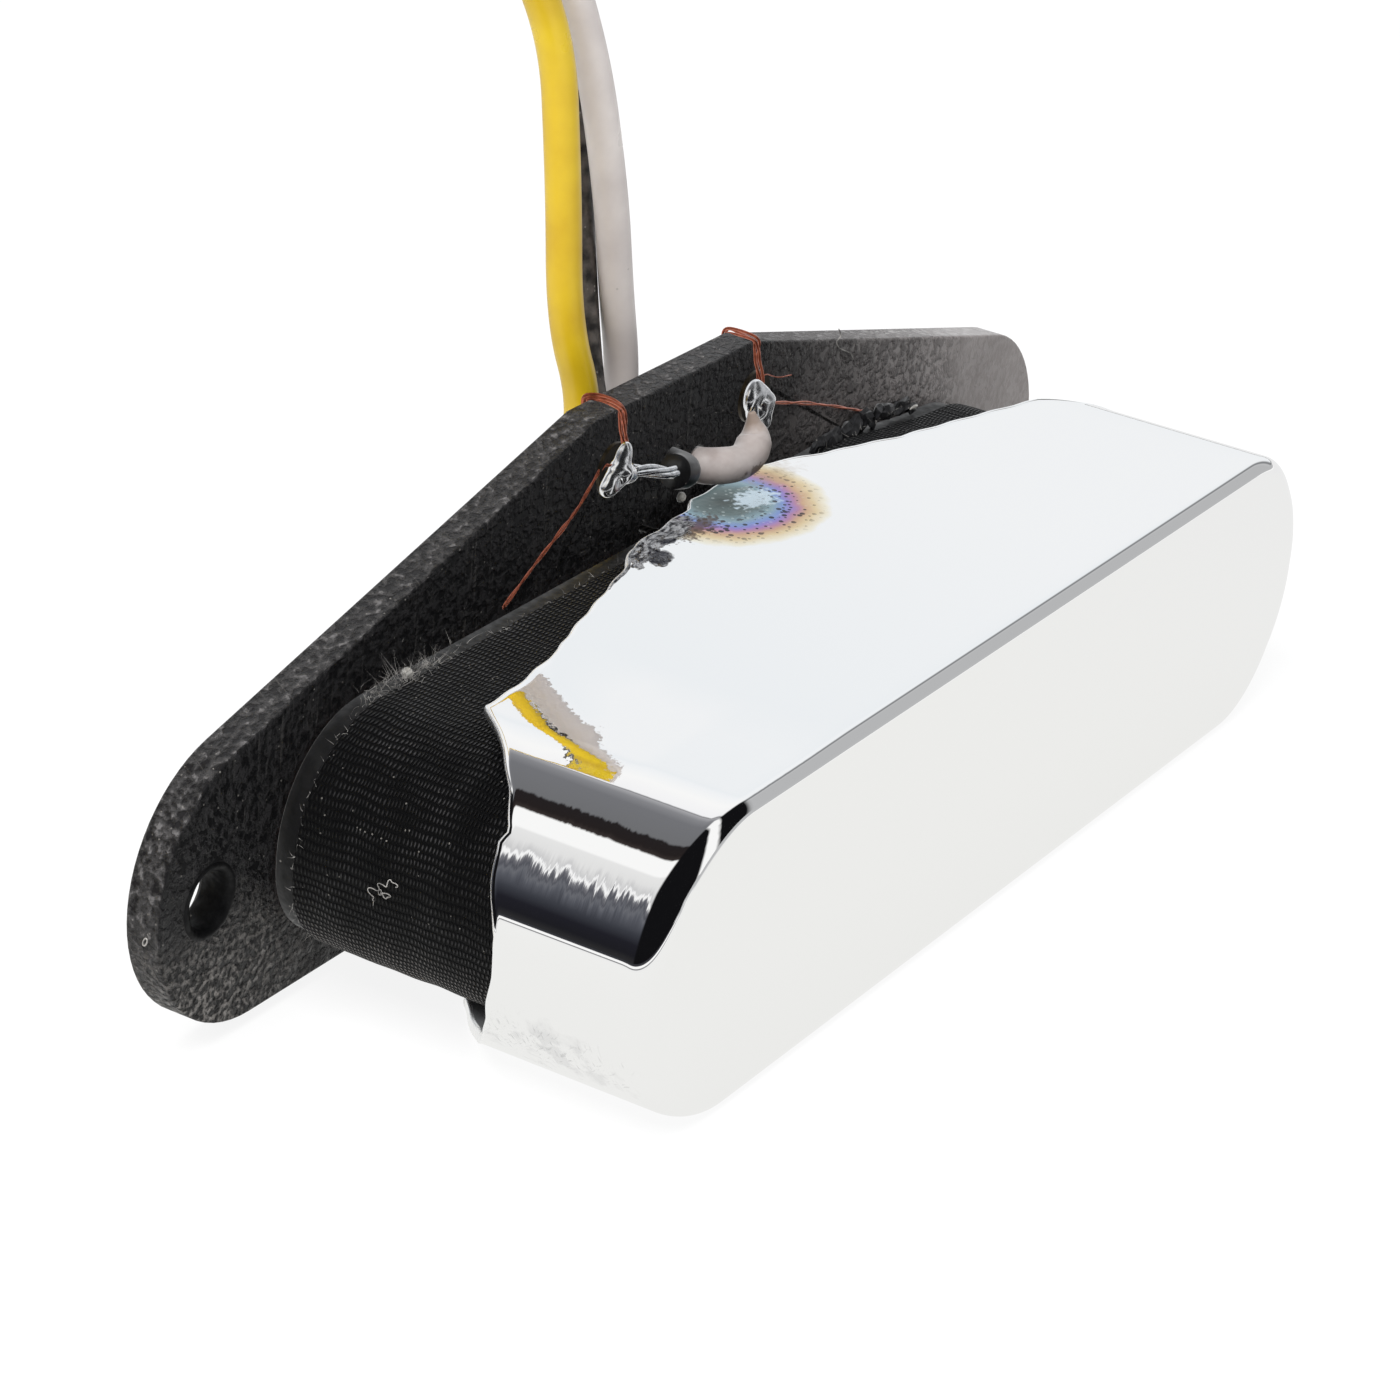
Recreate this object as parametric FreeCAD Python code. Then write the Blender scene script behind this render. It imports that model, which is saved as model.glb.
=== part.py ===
import FreeCAD
import Part
import math
import os

from FreeCAD import Vector

# A slim single-coil guitar pickup with a metal cover, in millimetres. It stands on its long side as it
# would on a bench: +X runs along the coil, +Z points up and -Y is the way the cover's face looks.
# The origin lies midway between the two screw holes, on the back face of the base plate.

# Base plate of vulcanised fibre. Its screw line is Z = 0 and its back face is Y = 0.
BASE_THICKNESS = 1.85
EAR_RADIUS = 7.1
EAR_SPACING = 67.1
APEX_WIDTH = 14.6
APEX_HEIGHT = 14.25
SCREW_SPACING = 74.0
SCREW_HOLE_DIAMETER = 3.2

# Rod magnets, pressed into both plates
MAGNET_COUNT = 6
MAGNET_DIAMETER = 4.8
MAGNET_PITCH = 10.0

# Coil, wound round the magnets, with two layers of tape
WINDING_END_BUILD = 4.5
WINDING_SIDE_BUILD = 3.65
WINDING_CLEARANCE = 0.1
INNER_TAPE_THICKNESS = 0.3
CLOTH_TAPE_THICKNESS = 0.35
CLOTH_TAPE_SETBACK = 1.2
WAX_HEIGHT = 4.4
WAX_CLEARANCE = 0.1

# Drawn metal cover, open at the back, which slips over the taped coil
COVER_DEPTH = 22.6
COVER_WALL = 0.5
COVER_END_CLEARANCE = 0.1
COVER_SIDE_CLEARANCE = 0.45
COVER_END_FLAT = 0.35
COVER_FACE_FILLET = 0.7
# The walls' rear edge: the tongue's gap to the base plate, and how far the shoulders beside the tongue and
# the middle of the round ends are cut back from the tongue's edge
TONGUE_GAP = 0.75
LEFT_SHOULDER_DROP = 5.9
RIGHT_SHOULDER_DROP = 6.5
END_DROP = 11.6
# The snipped edge of the tongue: places along half the straight wall, and from the shoulder to the edge
TONGUE_SHARES = [
    (-1.0, 0.0), (-0.9, 0.03), (-0.72, 0.15), (-0.48, 0.44), (-0.22, 0.8), (0.04, 1.0),
    (0.18, 0.98), (0.3, 0.91), (0.43, 0.66), (0.64, 0.48), (0.81, 0.31), (1.0, 0.0),
]
# The snipped edge at the ends: places up half the cover's height, and from the end's middle to the shoulder
END_CUT_SHARES = [(1.0, 1.0), (0.9, 0.42), (0.68, 0.22), (0.28, 0.0)]

# Front plate, under the cover's face
FRONT_PLATE_THICKNESS = 1.6
FRONT_PLATE_CLEARANCE = 0.55

# Eyelets, and the solder on them
EYELET_TO_APEX = 3.05
LEFT_EYELET_X = -5.7
RIGHT_EYELET_X = 7.6
EYELET_DIAMETER = 2.0
EYELET_BORE_DIAMETER = 1.4
EYELET_FLANGE_DIAMETER = 2.8
EYELET_FLANGE_THICKNESS = 0.2
SOLDER_DIAMETER = 2.4
SOLDER_HEIGHT = 1.1
# The solder's slumped profile: shares of its radius and of its height
SOLDER_PROFILE_SHARES = [(1.0, 0.0), (0.86, 0.62), (0.42, 1.0), (0.0, 1.0)]

# Fine copper wire: the wraps over the plate's edge, and the coil's own two ends
WRAP_WIDTH = 0.7
WRAP_THICKNESS = 0.2
LEFT_WRAP_SHIFT = 0.5
RIGHT_WRAP_SHIFT = 0.0
COIL_WIRE_DIAMETER = 0.18
LEFT_COIL_WIRE_RUN = 9.2
RIGHT_COIL_WIRE_RUN = 12.6

# Leads, whose tubes have flat sides and a round one's area
LEAD_DIAMETER = 1.8
LEAD_SIDES = 7
LEAD_HOLE_CLEARANCE = 0.2
STRAND_DIAMETER = 0.35
STRAND_COUNT = 3
GROUND_WIRE_DIAMETER = 0.4
GROUND_SOLDER_DIAMETER = 3.2
GROUND_SOLDER_THICKNESS = 0.3
LEAD_TIP_DIAMETER = 1.1
LEAD_TIP_LENGTH = 4.0

# The put-away loop of the leads, and its tie
LOOP_RADIUS = 9.6
LOOP_TURN_DEGREES = 285.0
TIE_WIDTH = 2.5
TIE_THICKNESS = 0.25
TIE_CLEARANCE = 0.2

# Cuts and tool bodies run on past what they cut by this much
OVERRUN = 2.0

# Levels along Y, from the back of the base plate to the cover's face
BASE_BACK = 0.0
BASE_FRONT = BASE_BACK - BASE_THICKNESS
COVER_FACE = BASE_BACK - COVER_DEPTH
COVER_INNER_FACE = COVER_FACE + COVER_WALL
FRONT_PLATE_BACK = COVER_INNER_FACE + FRONT_PLATE_THICKNESS

TONGUE_EDGE = BASE_FRONT - TONGUE_GAP
END_EDGE = TONGUE_EDGE - END_DROP

# Sizes of the coil, from the row of magnets outwards
MAGNET_ROW = (MAGNET_COUNT - 1) * MAGNET_PITCH
BORE_HEIGHT = MAGNET_DIAMETER + 2 * WINDING_CLEARANCE
BORE_LENGTH = MAGNET_ROW + BORE_HEIGHT
WINDING_LENGTH = BORE_LENGTH + 2 * WINDING_END_BUILD
WINDING_HEIGHT = BORE_HEIGHT + 2 * WINDING_SIDE_BUILD
INNER_TAPE_LENGTH = WINDING_LENGTH + 2 * INNER_TAPE_THICKNESS
INNER_TAPE_HEIGHT = WINDING_HEIGHT + 2 * INNER_TAPE_THICKNESS
CLOTH_TAPE_LENGTH = INNER_TAPE_LENGTH + 2 * CLOTH_TAPE_THICKNESS
CLOTH_TAPE_HEIGHT = INNER_TAPE_HEIGHT + 2 * CLOTH_TAPE_THICKNESS
CLOTH_TAPE_BACK = BASE_FRONT - CLOTH_TAPE_SETBACK

# Sizes of the cover and of the plate in it
COVER_LENGTH = CLOTH_TAPE_LENGTH + 2 * COVER_END_CLEARANCE + 2 * COVER_WALL
COVER_HEIGHT = CLOTH_TAPE_HEIGHT + 2 * COVER_SIDE_CLEARANCE + 2 * COVER_WALL
COVER_END_RADIUS = COVER_HEIGHT / 2 - COVER_END_FLAT
COVER_HALF_STRAIGHT = COVER_LENGTH / 2 - COVER_END_RADIUS
FRONT_PLATE_LENGTH = COVER_LENGTH - 2 * COVER_WALL - 2 * FRONT_PLATE_CLEARANCE
FRONT_PLATE_HEIGHT = COVER_HEIGHT - 2 * COVER_WALL - 2 * FRONT_PLATE_CLEARANCE

EYELET_HEIGHT = APEX_HEIGHT - EYELET_TO_APEX

# Height of the bare ground wire, in the middle of the gap between the cloth tape and the cover's wall
GROUND_WIRE_Z = (CLOTH_TAPE_HEIGHT / 2 + COVER_HEIGHT / 2 - COVER_WALL) / 2

# Routes of the leads, from the back of the base plate up, over and down to the loop on the bench
YELLOW_ROUTE = [
    (-2.2, 0, GROUND_WIRE_Z), (-2.2, 1.9, GROUND_WIRE_Z), (-2.2, 3.3, 8.8), (-2.3, 3.5, 11.9),
    (-2.4, 3.6, 16.2), (-2.4, 4.2, 22.8), (-3.9, 4.9, 31.8), (-9.7, 6.8, 40.6), (-19.8, 10.3, 45.6),
    (-30.6, 14.3, 43.8), (-38.6, 17.2, 36.2),
    (-42.4, 18.6, 25.6), (-43.1, 19.0, 15.4), (-43.0, 19.0, 7.4), (-43.0, 19.1, 0.9), (-45.6, 19.0, -3.7),
    (-50.2, 19.0, -6.4), (-55.2, 19.0, -6.4),
]
BLACK_ROUTE = [
    (0.2, 0, 9.6), (0.2, 1.9, 9.6), (0.4, 3.3, 11.0), (0.8, 4.1, 13.6), (1.1, 5.3, 17.2), (1.8, 6.6, 22.8),
    (1.4, 7.5, 31.6), (-4.2, 9.0, 42.0), (-15.4, 11.8, 49.4), (-28.4, 15.0, 49.6), (-38.8, 17.6, 42.2),
    (-43.9, 18.8, 30.6), (-45.2, 19.0, 18.6), (-45.1, 19.0, 8.8), (-45.1, 19.1, 1.7), (-47.3, 19.0, -2.1),
    (-51.1, 19.0, -4.3), (-55.2, 19.0, -4.3),
]
WHITE_ROUTE = [
    (2.6, 0, 8.9), (2.6, 1.9, 8.9), (2.8, 3.2, 10.4), (3.0, 3.6, 12.9), (2.9, 4.0, 16.4), (2.3, 4.3, 21.6),
    (0.2, 5.0, 30.2), (-4.4, 6.6, 40.2), (-13.6, 9.6, 49.8), (-26.6, 13.6, 53.0), (-38.6, 17.2, 47.2),
    (-45.3, 18.8, 35.6), (-47.3, 19.0, 22.4), (-47.2, 19.0, 9.6), (-47.2, 19.1, 2.6), (-49.0, 19.0, -0.4),
    (-52.0, 19.0, -2.2), (-55.2, 19.0, -2.2),
]
ROUTES = {"yellow": YELLOW_ROUTE, "black": BLACK_ROUTE, "white": WHITE_ROUTE}

# Routes of the leads' ends in front of the base plate, from its back face through their holes
BLACK_END_ROUTE = [(0.2, 0, 9.6), (0.2, -2.5, 9.6), (-1.2, -3.7, 10.0)]
WHITE_END_ROUTE = [(2.6, 0, 8.9), (2.6, -3.1, 8.9), (5.7, -3.9, 8.8), (7.5, -3.4, 9.6)]
GROUND_WIRE_ROUTE = [(-2.2, 0, GROUND_WIRE_Z), (-2.2, -3.2, GROUND_WIRE_Z), (0.4, -5.4, GROUND_WIRE_Z),
                     (2.8, -5.9, GROUND_WIRE_Z)]


def plane_point(x, z, y=0.0):
    """A point given by its place in the plane of the plates, and its level along Y."""
    return Vector(x, y, z)


def prism(edges, travel):
    """A closed outline, pushed along the vector travel into a solid."""
    return Part.Face(Part.Wire(edges)).extrude(travel)


def polygon_prism(points, travel):
    """A prism whose outline runs straight from point to point."""
    return Part.Face(Part.makePolygon(points + points[:1])).extrude(travel)


def cylinder_y(x, z, diameter, back, front):
    """A round bar along Y, between two levels."""
    return Part.makeCylinder(diameter / 2, back - front, Vector(x, back, z), Vector(0, -1, 0))


def stadium(length, height, back, front):
    """A bar with half-round ends, lying along X, between two levels along Y."""
    radius = height / 2
    centre = length / 2 - radius
    edges = [
        Part.LineSegment(plane_point(-centre, -radius, back), plane_point(centre, -radius, back)).toShape(),
        Part.Arc(plane_point(centre, -radius, back), plane_point(centre + radius, 0, back),
                 plane_point(centre, radius, back)).toShape(),
        Part.LineSegment(plane_point(centre, radius, back), plane_point(-centre, radius, back)).toShape(),
        Part.Arc(plane_point(-centre, radius, back), plane_point(-centre - radius, 0, back),
                 plane_point(-centre, -radius, back)).toShape(),
    ]
    return prism(edges, Vector(0, front - back, 0))


def stadium_ring(length, height, bore_length, bore_height, back, front):
    """A stadium with a stadium through it."""
    bore = stadium(bore_length, bore_height, back + OVERRUN, front - OVERRUN)
    return stadium(length, height, back, front).cut(bore)


def rounded_bar(length, height, radius, back, front):
    """A bar with rounded corners, lying along X, between two levels along Y."""
    bar = Part.makeBox(length, back - front, height, Vector(-length / 2, front, -height / 2))
    return bar.makeFillet(radius, [edge for edge in bar.Edges if is_along_y(edge)])


def is_along_y(edge):
    """Whether a straight edge runs along Y."""
    ends = edge.Vertexes
    return abs(ends[0].Y - ends[-1].Y) > abs(ends[0].X - ends[-1].X) + abs(ends[0].Z - ends[-1].Z)


def lies_at_level(edge, level):
    """Whether the whole edge lies at one level along Y."""
    box = edge.BoundBox
    return math.isclose(box.YMin, level, abs_tol=1e-6) and math.isclose(box.YMax, level, abs_tol=1e-6)


def rounded_path(points):
    """Straight runs through the points, joined by tangent arcs as large as the runs allow.

    Gives the wire and the arcs' radii. Each arc takes the same share of the shorter of its two runs.
    """
    run_share = 0.45
    points = [Vector(*point) for point in points]
    edges, radii = [], []
    start = points[0]
    for before, corner, after in zip(points, points[1:], points[2:]):
        back = (before - corner).normalize()
        ahead = (after - corner).normalize()
        reach = run_share * min(before.distanceToPoint(corner), after.distanceToPoint(corner))
        half_turn = (math.pi - back.getAngle(ahead)) / 2
        radius = reach / math.tan(half_turn)
        inwards = (back + ahead).normalize()
        centre = corner + inwards * math.hypot(reach, radius)
        first, last = corner + back * reach, corner + ahead * reach
        edges.append(Part.LineSegment(start, first).toShape())
        edges.append(Part.Arc(first, centre - inwards * radius, last).toShape())
        radii.append(radius)
        start = last
    edges.append(Part.LineSegment(start, points[-1]).toShape())
    return Part.Wire(edges), radii


def tube_along(path, diameter):
    """A solid tube with flat sides along a path of lines and arcs, with a round section's area."""
    first = path.OrderedEdges[0]
    start = path.OrderedVertexes[0].Point
    heading = first.tangentAt(first.FirstParameter)
    side_turn = 2 * math.pi / LEAD_SIDES
    corner_radius = diameter / 2 * math.sqrt(side_turn / math.sin(side_turn))
    rim = Part.makeCircle(corner_radius, start, heading)
    corners = [rim.valueAt(rim.FirstParameter + number * side_turn) for number in range(LEAD_SIDES)]
    return path.makePipeShell([Part.makePolygon(corners + corners[:1])], True, False)


def straight_rod(start, end, diameter):
    """A straight rod with the flat sides of the tubes."""
    return tube_along(Part.Wire([Part.LineSegment(start, end).toShape()]), diameter)


def report_tube(name, tube, path, diameter, radii):
    """Prints a tube's length and radii, and how its volume compares with its section times its length."""
    expected = math.pi * diameter**2 / 4 * path.Length
    print(f"{name}: length {path.Length:.1f}, least radius {min(radii):.1f}, "
          f"radii {[round(radius, 1) for radius in radii]}, volume ratio {tube.Volume / expected:.4f}")


def routed_tube(name, points, diameter):
    """A tube along a route given by points."""
    path, radii = rounded_path(points)
    tube = tube_along(path, diameter)
    report_tube(name, tube, path, diameter, radii)
    return tube


def base_outline():
    """The base plate's outline: round ears, a straight lower edge, and slanted edges up to the flat apex."""
    ear_x = EAR_SPACING / 2
    apex_x = APEX_WIDTH / 2
    to_apex = math.atan2(APEX_HEIGHT, apex_x - ear_x)
    tangent = to_apex - math.acos(EAR_RADIUS / math.hypot(APEX_HEIGHT, apex_x - ear_x))
    touch_x = ear_x + EAR_RADIUS * math.cos(tangent)
    touch_z = EAR_RADIUS * math.sin(tangent)
    tip_x = ear_x + EAR_RADIUS
    corners = [
        (-ear_x, -EAR_RADIUS), (ear_x, -EAR_RADIUS), (touch_x, touch_z),
        (apex_x, APEX_HEIGHT), (-apex_x, APEX_HEIGHT), (-touch_x, touch_z),
    ]
    lower_left, lower_right, right_touch, right_apex, left_apex, left_touch = [
        plane_point(x, z, BASE_BACK) for x, z in corners
    ]
    return [
        Part.LineSegment(lower_left, lower_right).toShape(),
        Part.Arc(lower_right, plane_point(tip_x, 0, BASE_BACK), right_touch).toShape(),
        Part.LineSegment(right_touch, right_apex).toShape(),
        Part.LineSegment(right_apex, left_apex).toShape(),
        Part.LineSegment(left_apex, left_touch).toShape(),
        Part.Arc(left_touch, plane_point(-tip_x, 0, BASE_BACK), lower_left).toShape(),
    ]


def magnet_places():
    """The magnets' places along X."""
    return [number * MAGNET_PITCH - MAGNET_ROW / 2 for number in range(MAGNET_COUNT)]


def base_plate():
    """The fibre base plate, with holes for the screws, magnets, eyelets and leads."""
    plate = prism(base_outline(), Vector(0, -BASE_THICKNESS, 0))
    lead_hole = LEAD_DIAMETER + LEAD_HOLE_CLEARANCE
    holes = [(x, 0, SCREW_HOLE_DIAMETER) for x in (-SCREW_SPACING / 2, SCREW_SPACING / 2)]
    holes += [(x, 0, MAGNET_DIAMETER) for x in magnet_places()]
    holes += [(x, EYELET_HEIGHT, EYELET_DIAMETER) for x in (LEFT_EYELET_X, RIGHT_EYELET_X)]
    holes += [(route[0][0], route[0][2], lead_hole) for route in (BLACK_END_ROUTE, WHITE_END_ROUTE)]
    ground_x, _, ground_z = GROUND_WIRE_ROUTE[0]
    holes.append((ground_x, ground_z, GROUND_WIRE_DIAMETER + LEAD_HOLE_CLEARANCE))
    for x, z, diameter in holes:
        plate = plate.cut(cylinder_y(x, z, diameter, BASE_BACK + OVERRUN, BASE_FRONT - OVERRUN))
    return plate


def front_plate():
    """The small fibre plate under the cover's face, which the magnets pass through."""
    plate = stadium(FRONT_PLATE_LENGTH, FRONT_PLATE_HEIGHT, FRONT_PLATE_BACK, COVER_INNER_FACE)
    for x in magnet_places():
        back, front = FRONT_PLATE_BACK + OVERRUN, COVER_INNER_FACE - OVERRUN
        plate = plate.cut(cylinder_y(x, 0, MAGNET_DIAMETER, back, front))
    return plate


def pole_magnet(x):
    """One rod magnet, flush with the back of the base plate and the front of the front plate."""
    return cylinder_y(x, 0, MAGNET_DIAMETER, BASE_BACK, COVER_INNER_FACE)


def core_wax():
    """The potting wax between neighbouring magnets, as separate blocks."""
    width = MAGNET_PITCH - MAGNET_DIAMETER - 2 * WAX_CLEARANCE
    blocks = [
        Part.makeBox(width, BASE_FRONT - FRONT_PLATE_BACK, WAX_HEIGHT,
                     Vector(x + (MAGNET_PITCH - width) / 2, FRONT_PLATE_BACK, -WAX_HEIGHT / 2))
        for x in magnet_places()[:-1]
    ]
    return Part.makeCompound(blocks)


def coil_winding():
    """The wound coil as one body round the magnets."""
    return stadium_ring(WINDING_LENGTH, WINDING_HEIGHT, BORE_LENGTH, BORE_HEIGHT,
                        BASE_FRONT, FRONT_PLATE_BACK)


def coil_inner_tape():
    """The smooth tape on the coil, from plate to plate."""
    return stadium_ring(INNER_TAPE_LENGTH, INNER_TAPE_HEIGHT, WINDING_LENGTH, WINDING_HEIGHT,
                        BASE_FRONT, FRONT_PLATE_BACK)


def coil_cloth_tape():
    """The woven tape over it, which starts a little in front of the base plate."""
    return stadium_ring(CLOTH_TAPE_LENGTH, CLOTH_TAPE_HEIGHT, INNER_TAPE_LENGTH, INNER_TAPE_HEIGHT,
                        CLOTH_TAPE_BACK, FRONT_PLATE_BACK)


def cover():
    """The drawn cover: a tub whose straight walls end in a tongue, and whose round ends are cut back."""
    shell = rounded_bar(COVER_LENGTH, COVER_HEIGHT, COVER_END_RADIUS, BASE_BACK, COVER_FACE)
    face_rim = [edge for edge in shell.Edges if lies_at_level(edge, COVER_FACE)]
    shell = shell.makeFillet(COVER_FACE_FILLET, face_rim)
    shell = shell.cut(rounded_bar(COVER_LENGTH - 2 * COVER_WALL, COVER_HEIGHT - 2 * COVER_WALL,
                                  COVER_END_RADIUS - COVER_WALL, BASE_BACK + OVERRUN, COVER_INNER_FACE))
    half_height = COVER_HEIGHT / 2
    beyond = BASE_BACK + OVERRUN
    above = half_height + OVERRUN

    edge = []
    for x, y in TONGUE_SHARES:
        drop = LEFT_SHOULDER_DROP if x < 0 else RIGHT_SHOULDER_DROP
        edge.append(Vector(x * COVER_HALF_STRAIGHT, TONGUE_EDGE - (1 - y) * drop, -above))
    edge += [Vector(COVER_HALF_STRAIGHT, beyond, -above), Vector(-COVER_HALF_STRAIGHT, beyond, -above)]
    shell = shell.cut(polygon_prism(edge, Vector(0, 0, 2 * above)))

    places = END_CUT_SHARES + [(-z, y) for z, y in reversed(END_CUT_SHARES)]
    for side, drop in ((-1, LEFT_SHOULDER_DROP), (1, RIGHT_SHOULDER_DROP)):
        x = side * COVER_HALF_STRAIGHT
        shoulder = TONGUE_EDGE - drop
        edge = [Vector(x, END_EDGE + y * (shoulder - END_EDGE), z * half_height) for z, y in places]
        edge += [Vector(x, shoulder, -above), Vector(x, beyond, -above),
                 Vector(x, beyond, above), Vector(x, shoulder, above)]
        shell = shell.cut(polygon_prism(edge, Vector(side * (COVER_END_RADIUS + OVERRUN), 0, 0)))
    return shell


def eyelet(x):
    """A tubular rivet through the base plate, with a flange on each face."""
    rivet = cylinder_y(x, EYELET_HEIGHT, EYELET_DIAMETER, BASE_BACK, BASE_FRONT)
    for back, front in (
        (BASE_BACK + EYELET_FLANGE_THICKNESS, BASE_BACK),
        (BASE_FRONT, BASE_FRONT - EYELET_FLANGE_THICKNESS),
    ):
        rivet = rivet.fuse(cylinder_y(x, EYELET_HEIGHT, EYELET_FLANGE_DIAMETER, back, front))
    bore = cylinder_y(x, EYELET_HEIGHT, EYELET_BORE_DIAMETER, BASE_BACK + OVERRUN, BASE_FRONT - OVERRUN)
    return rivet.removeSplitter().cut(bore)


def eyelet_solder(x):
    """The solder in an eyelet: a plug in its bore and a slumped drop on its front flange."""
    flange_front = BASE_FRONT - EYELET_FLANGE_THICKNESS
    bore_radius = EYELET_BORE_DIAMETER / 2
    profile = [(0, BASE_BACK), (bore_radius, BASE_BACK), (bore_radius, flange_front)]
    profile += [(radius * SOLDER_DIAMETER / 2, flange_front - height * SOLDER_HEIGHT)
                for radius, height in SOLDER_PROFILE_SHARES]
    points = [Vector(x + radius, y, EYELET_HEIGHT) for radius, y in profile]
    half = Part.Face(Part.makePolygon(points + points[:1]))
    return half.revolve(Vector(x, 0, EYELET_HEIGHT), Vector(0, 1, 0), 360)


def wire_wrap(x):
    """The bundle of fine wire over the plate's top edge, down to the eyelet's flanges on both faces."""
    outline = Part.Wire(base_outline())
    outer = Part.Face(outline.makeOffset2D(WRAP_THICKNESS))
    outer.translate(Vector(0, WRAP_THICKNESS, 0))
    jacket = outer.extrude(Vector(0, -BASE_THICKNESS - 2 * WRAP_THICKNESS, 0))
    foot = EYELET_HEIGHT + EYELET_FLANGE_DIAMETER / 2
    strip = Part.makeBox(WRAP_WIDTH, BASE_THICKNESS + 2 * OVERRUN, APEX_HEIGHT + OVERRUN - foot,
                         Vector(x - WRAP_WIDTH / 2, BASE_FRONT - OVERRUN, foot))
    return jacket.cut(prism(base_outline(), Vector(0, -BASE_THICKNESS, 0))).common(strip)


def coil_wire(eyelet_x, run):
    """One end of the coil's wire, straight from the solder's rim to the upper side of the inner tape."""
    side = math.copysign(1, run)
    radius = COIL_WIRE_DIAMETER / 2
    start = Vector(eyelet_x + side * SOLDER_DIAMETER / 2, BASE_FRONT - EYELET_FLANGE_THICKNESS - radius,
                   EYELET_HEIGHT)
    end = Vector(eyelet_x + run, BASE_FRONT - radius, INNER_TAPE_HEIGHT / 2 + radius)
    return straight_rod(start, end, COIL_WIRE_DIAMETER)


def bare_strands(route, target, count):
    """Bare tinned strands side by side, from the middle of a lead's end to the solder at the target."""
    tip = Vector(*route[-1])
    strands = []
    for number in range(count):
        step = Vector(0, 0, (number - (count - 1) / 2) * STRAND_DIAMETER)
        strands.append(straight_rod(tip + step, target + step, STRAND_DIAMETER))
    path, _ = rounded_path(route)
    return strands[0].multiFuse(strands[1:]).cut(tube_along(path, LEAD_DIAMETER))


def black_lead_strands():
    """The strands from the black lead's end to the left eyelet's solder."""
    dome_middle = BASE_FRONT - EYELET_FLANGE_THICKNESS - SOLDER_HEIGHT / 2
    target = Vector(LEFT_EYELET_X, dome_middle, EYELET_HEIGHT)
    return bare_strands(BLACK_END_ROUTE, target, STRAND_COUNT).cut(eyelet_solder(LEFT_EYELET_X))


def white_lead_strands():
    """The strands from the white lead's end up to the right eyelet's solder."""
    dome_middle = BASE_FRONT - EYELET_FLANGE_THICKNESS - SOLDER_HEIGHT / 2
    target = Vector(RIGHT_EYELET_X, dome_middle, EYELET_HEIGHT)
    return bare_strands(WHITE_END_ROUTE, target, 1).cut(eyelet_solder(RIGHT_EYELET_X))


def cover_ground_solder():
    """The flat drop of solder inside the cover's upper wall, round the end of the ground wire."""
    x, y, _ = GROUND_WIRE_ROUTE[-1]
    top = COVER_HEIGHT / 2 - COVER_WALL
    drop = Part.makeCylinder(GROUND_SOLDER_DIAMETER / 2, GROUND_SOLDER_THICKNESS,
                             Vector(x, y, top - GROUND_SOLDER_THICKNESS))
    path, _ = rounded_path(GROUND_WIRE_ROUTE)
    return drop.cut(tube_along(path, GROUND_WIRE_DIAMETER))


def loop_path(route):
    """The put-away loop of one lead, level on the bench: straight in, round, and straight out."""
    entry = Vector(*route[-1])
    straight = Vector(-LEAD_DIAMETER, 0, 0)
    start = entry + straight
    centre = start - Vector(0, LOOP_RADIUS, 0)

    def place(degrees):
        turn = math.radians(degrees)
        return centre + Vector(-math.sin(turn), math.cos(turn), 0) * LOOP_RADIUS

    edges = [Part.LineSegment(entry, start).toShape()]
    quarter = 90.0
    turned = 0.0
    while turned < LOOP_TURN_DEGREES:
        step = min(quarter, LOOP_TURN_DEGREES - turned)
        edges.append(Part.Arc(place(turned), place(turned + step / 2), place(turned + step)).toShape())
        turned += step
    end = place(turned)
    heading = Vector(-math.cos(math.radians(turned)), -math.sin(math.radians(turned)), 0)
    edges.append(Part.LineSegment(end, end + heading * LEAD_DIAMETER).toShape())
    return Part.Wire(edges), centre, end + heading * LEAD_DIAMETER, heading


def least_gap(path, diameter):
    """The least gap between stretches of one tube that are over a half turn apart, measured on points."""
    count = 240
    points = path.discretize(count)
    apart = math.ceil(math.pi * LOOP_RADIUS / path.Length * count)
    gaps = [
        first.distanceToPoint(second) - diameter
        for number, first in enumerate(points)
        for second in points[number + apart:]
    ]
    return min(gaps)


def lead_loop(name):
    """The loop of one lead."""
    path, _, _, _ = loop_path(ROUTES[name])
    gap = least_gap(path, LEAD_DIAMETER)
    print(f"{name} lead's loop: length {path.Length:.1f}, least gap to itself {gap:.2f}")
    return tube_along(path, LEAD_DIAMETER)


def lead_tip(name):
    """The tinned strands at one lead's far end."""
    _, _, end, heading = loop_path(ROUTES[name])
    return straight_rod(end, end + heading * LEAD_TIP_LENGTH, LEAD_TIP_DIAMETER)


def lead_tie():
    """The tie round all the loops, at the middle of their turn."""
    levels = [route[-1][2] for route in ROUTES.values()]
    _, centre, _, _ = loop_path(YELLOW_ROUTE)
    gap = LEAD_DIAMETER / 2 + TIE_CLEARANCE
    inner_low, inner_high = min(levels) - gap, max(levels) + gap
    middle_x = centre.x - LOOP_RADIUS
    low_y = centre.y - TIE_WIDTH / 2
    hole = Part.makeBox(2 * gap, TIE_WIDTH, inner_high - inner_low, Vector(middle_x - gap, low_y, inner_low))
    band = Part.makeBox(2 * gap + 2 * TIE_THICKNESS, TIE_WIDTH, inner_high - inner_low + 2 * TIE_THICKNESS,
                        Vector(middle_x - gap - TIE_THICKNESS, low_y, inner_low - TIE_THICKNESS))
    return band.cut(hole)


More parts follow.
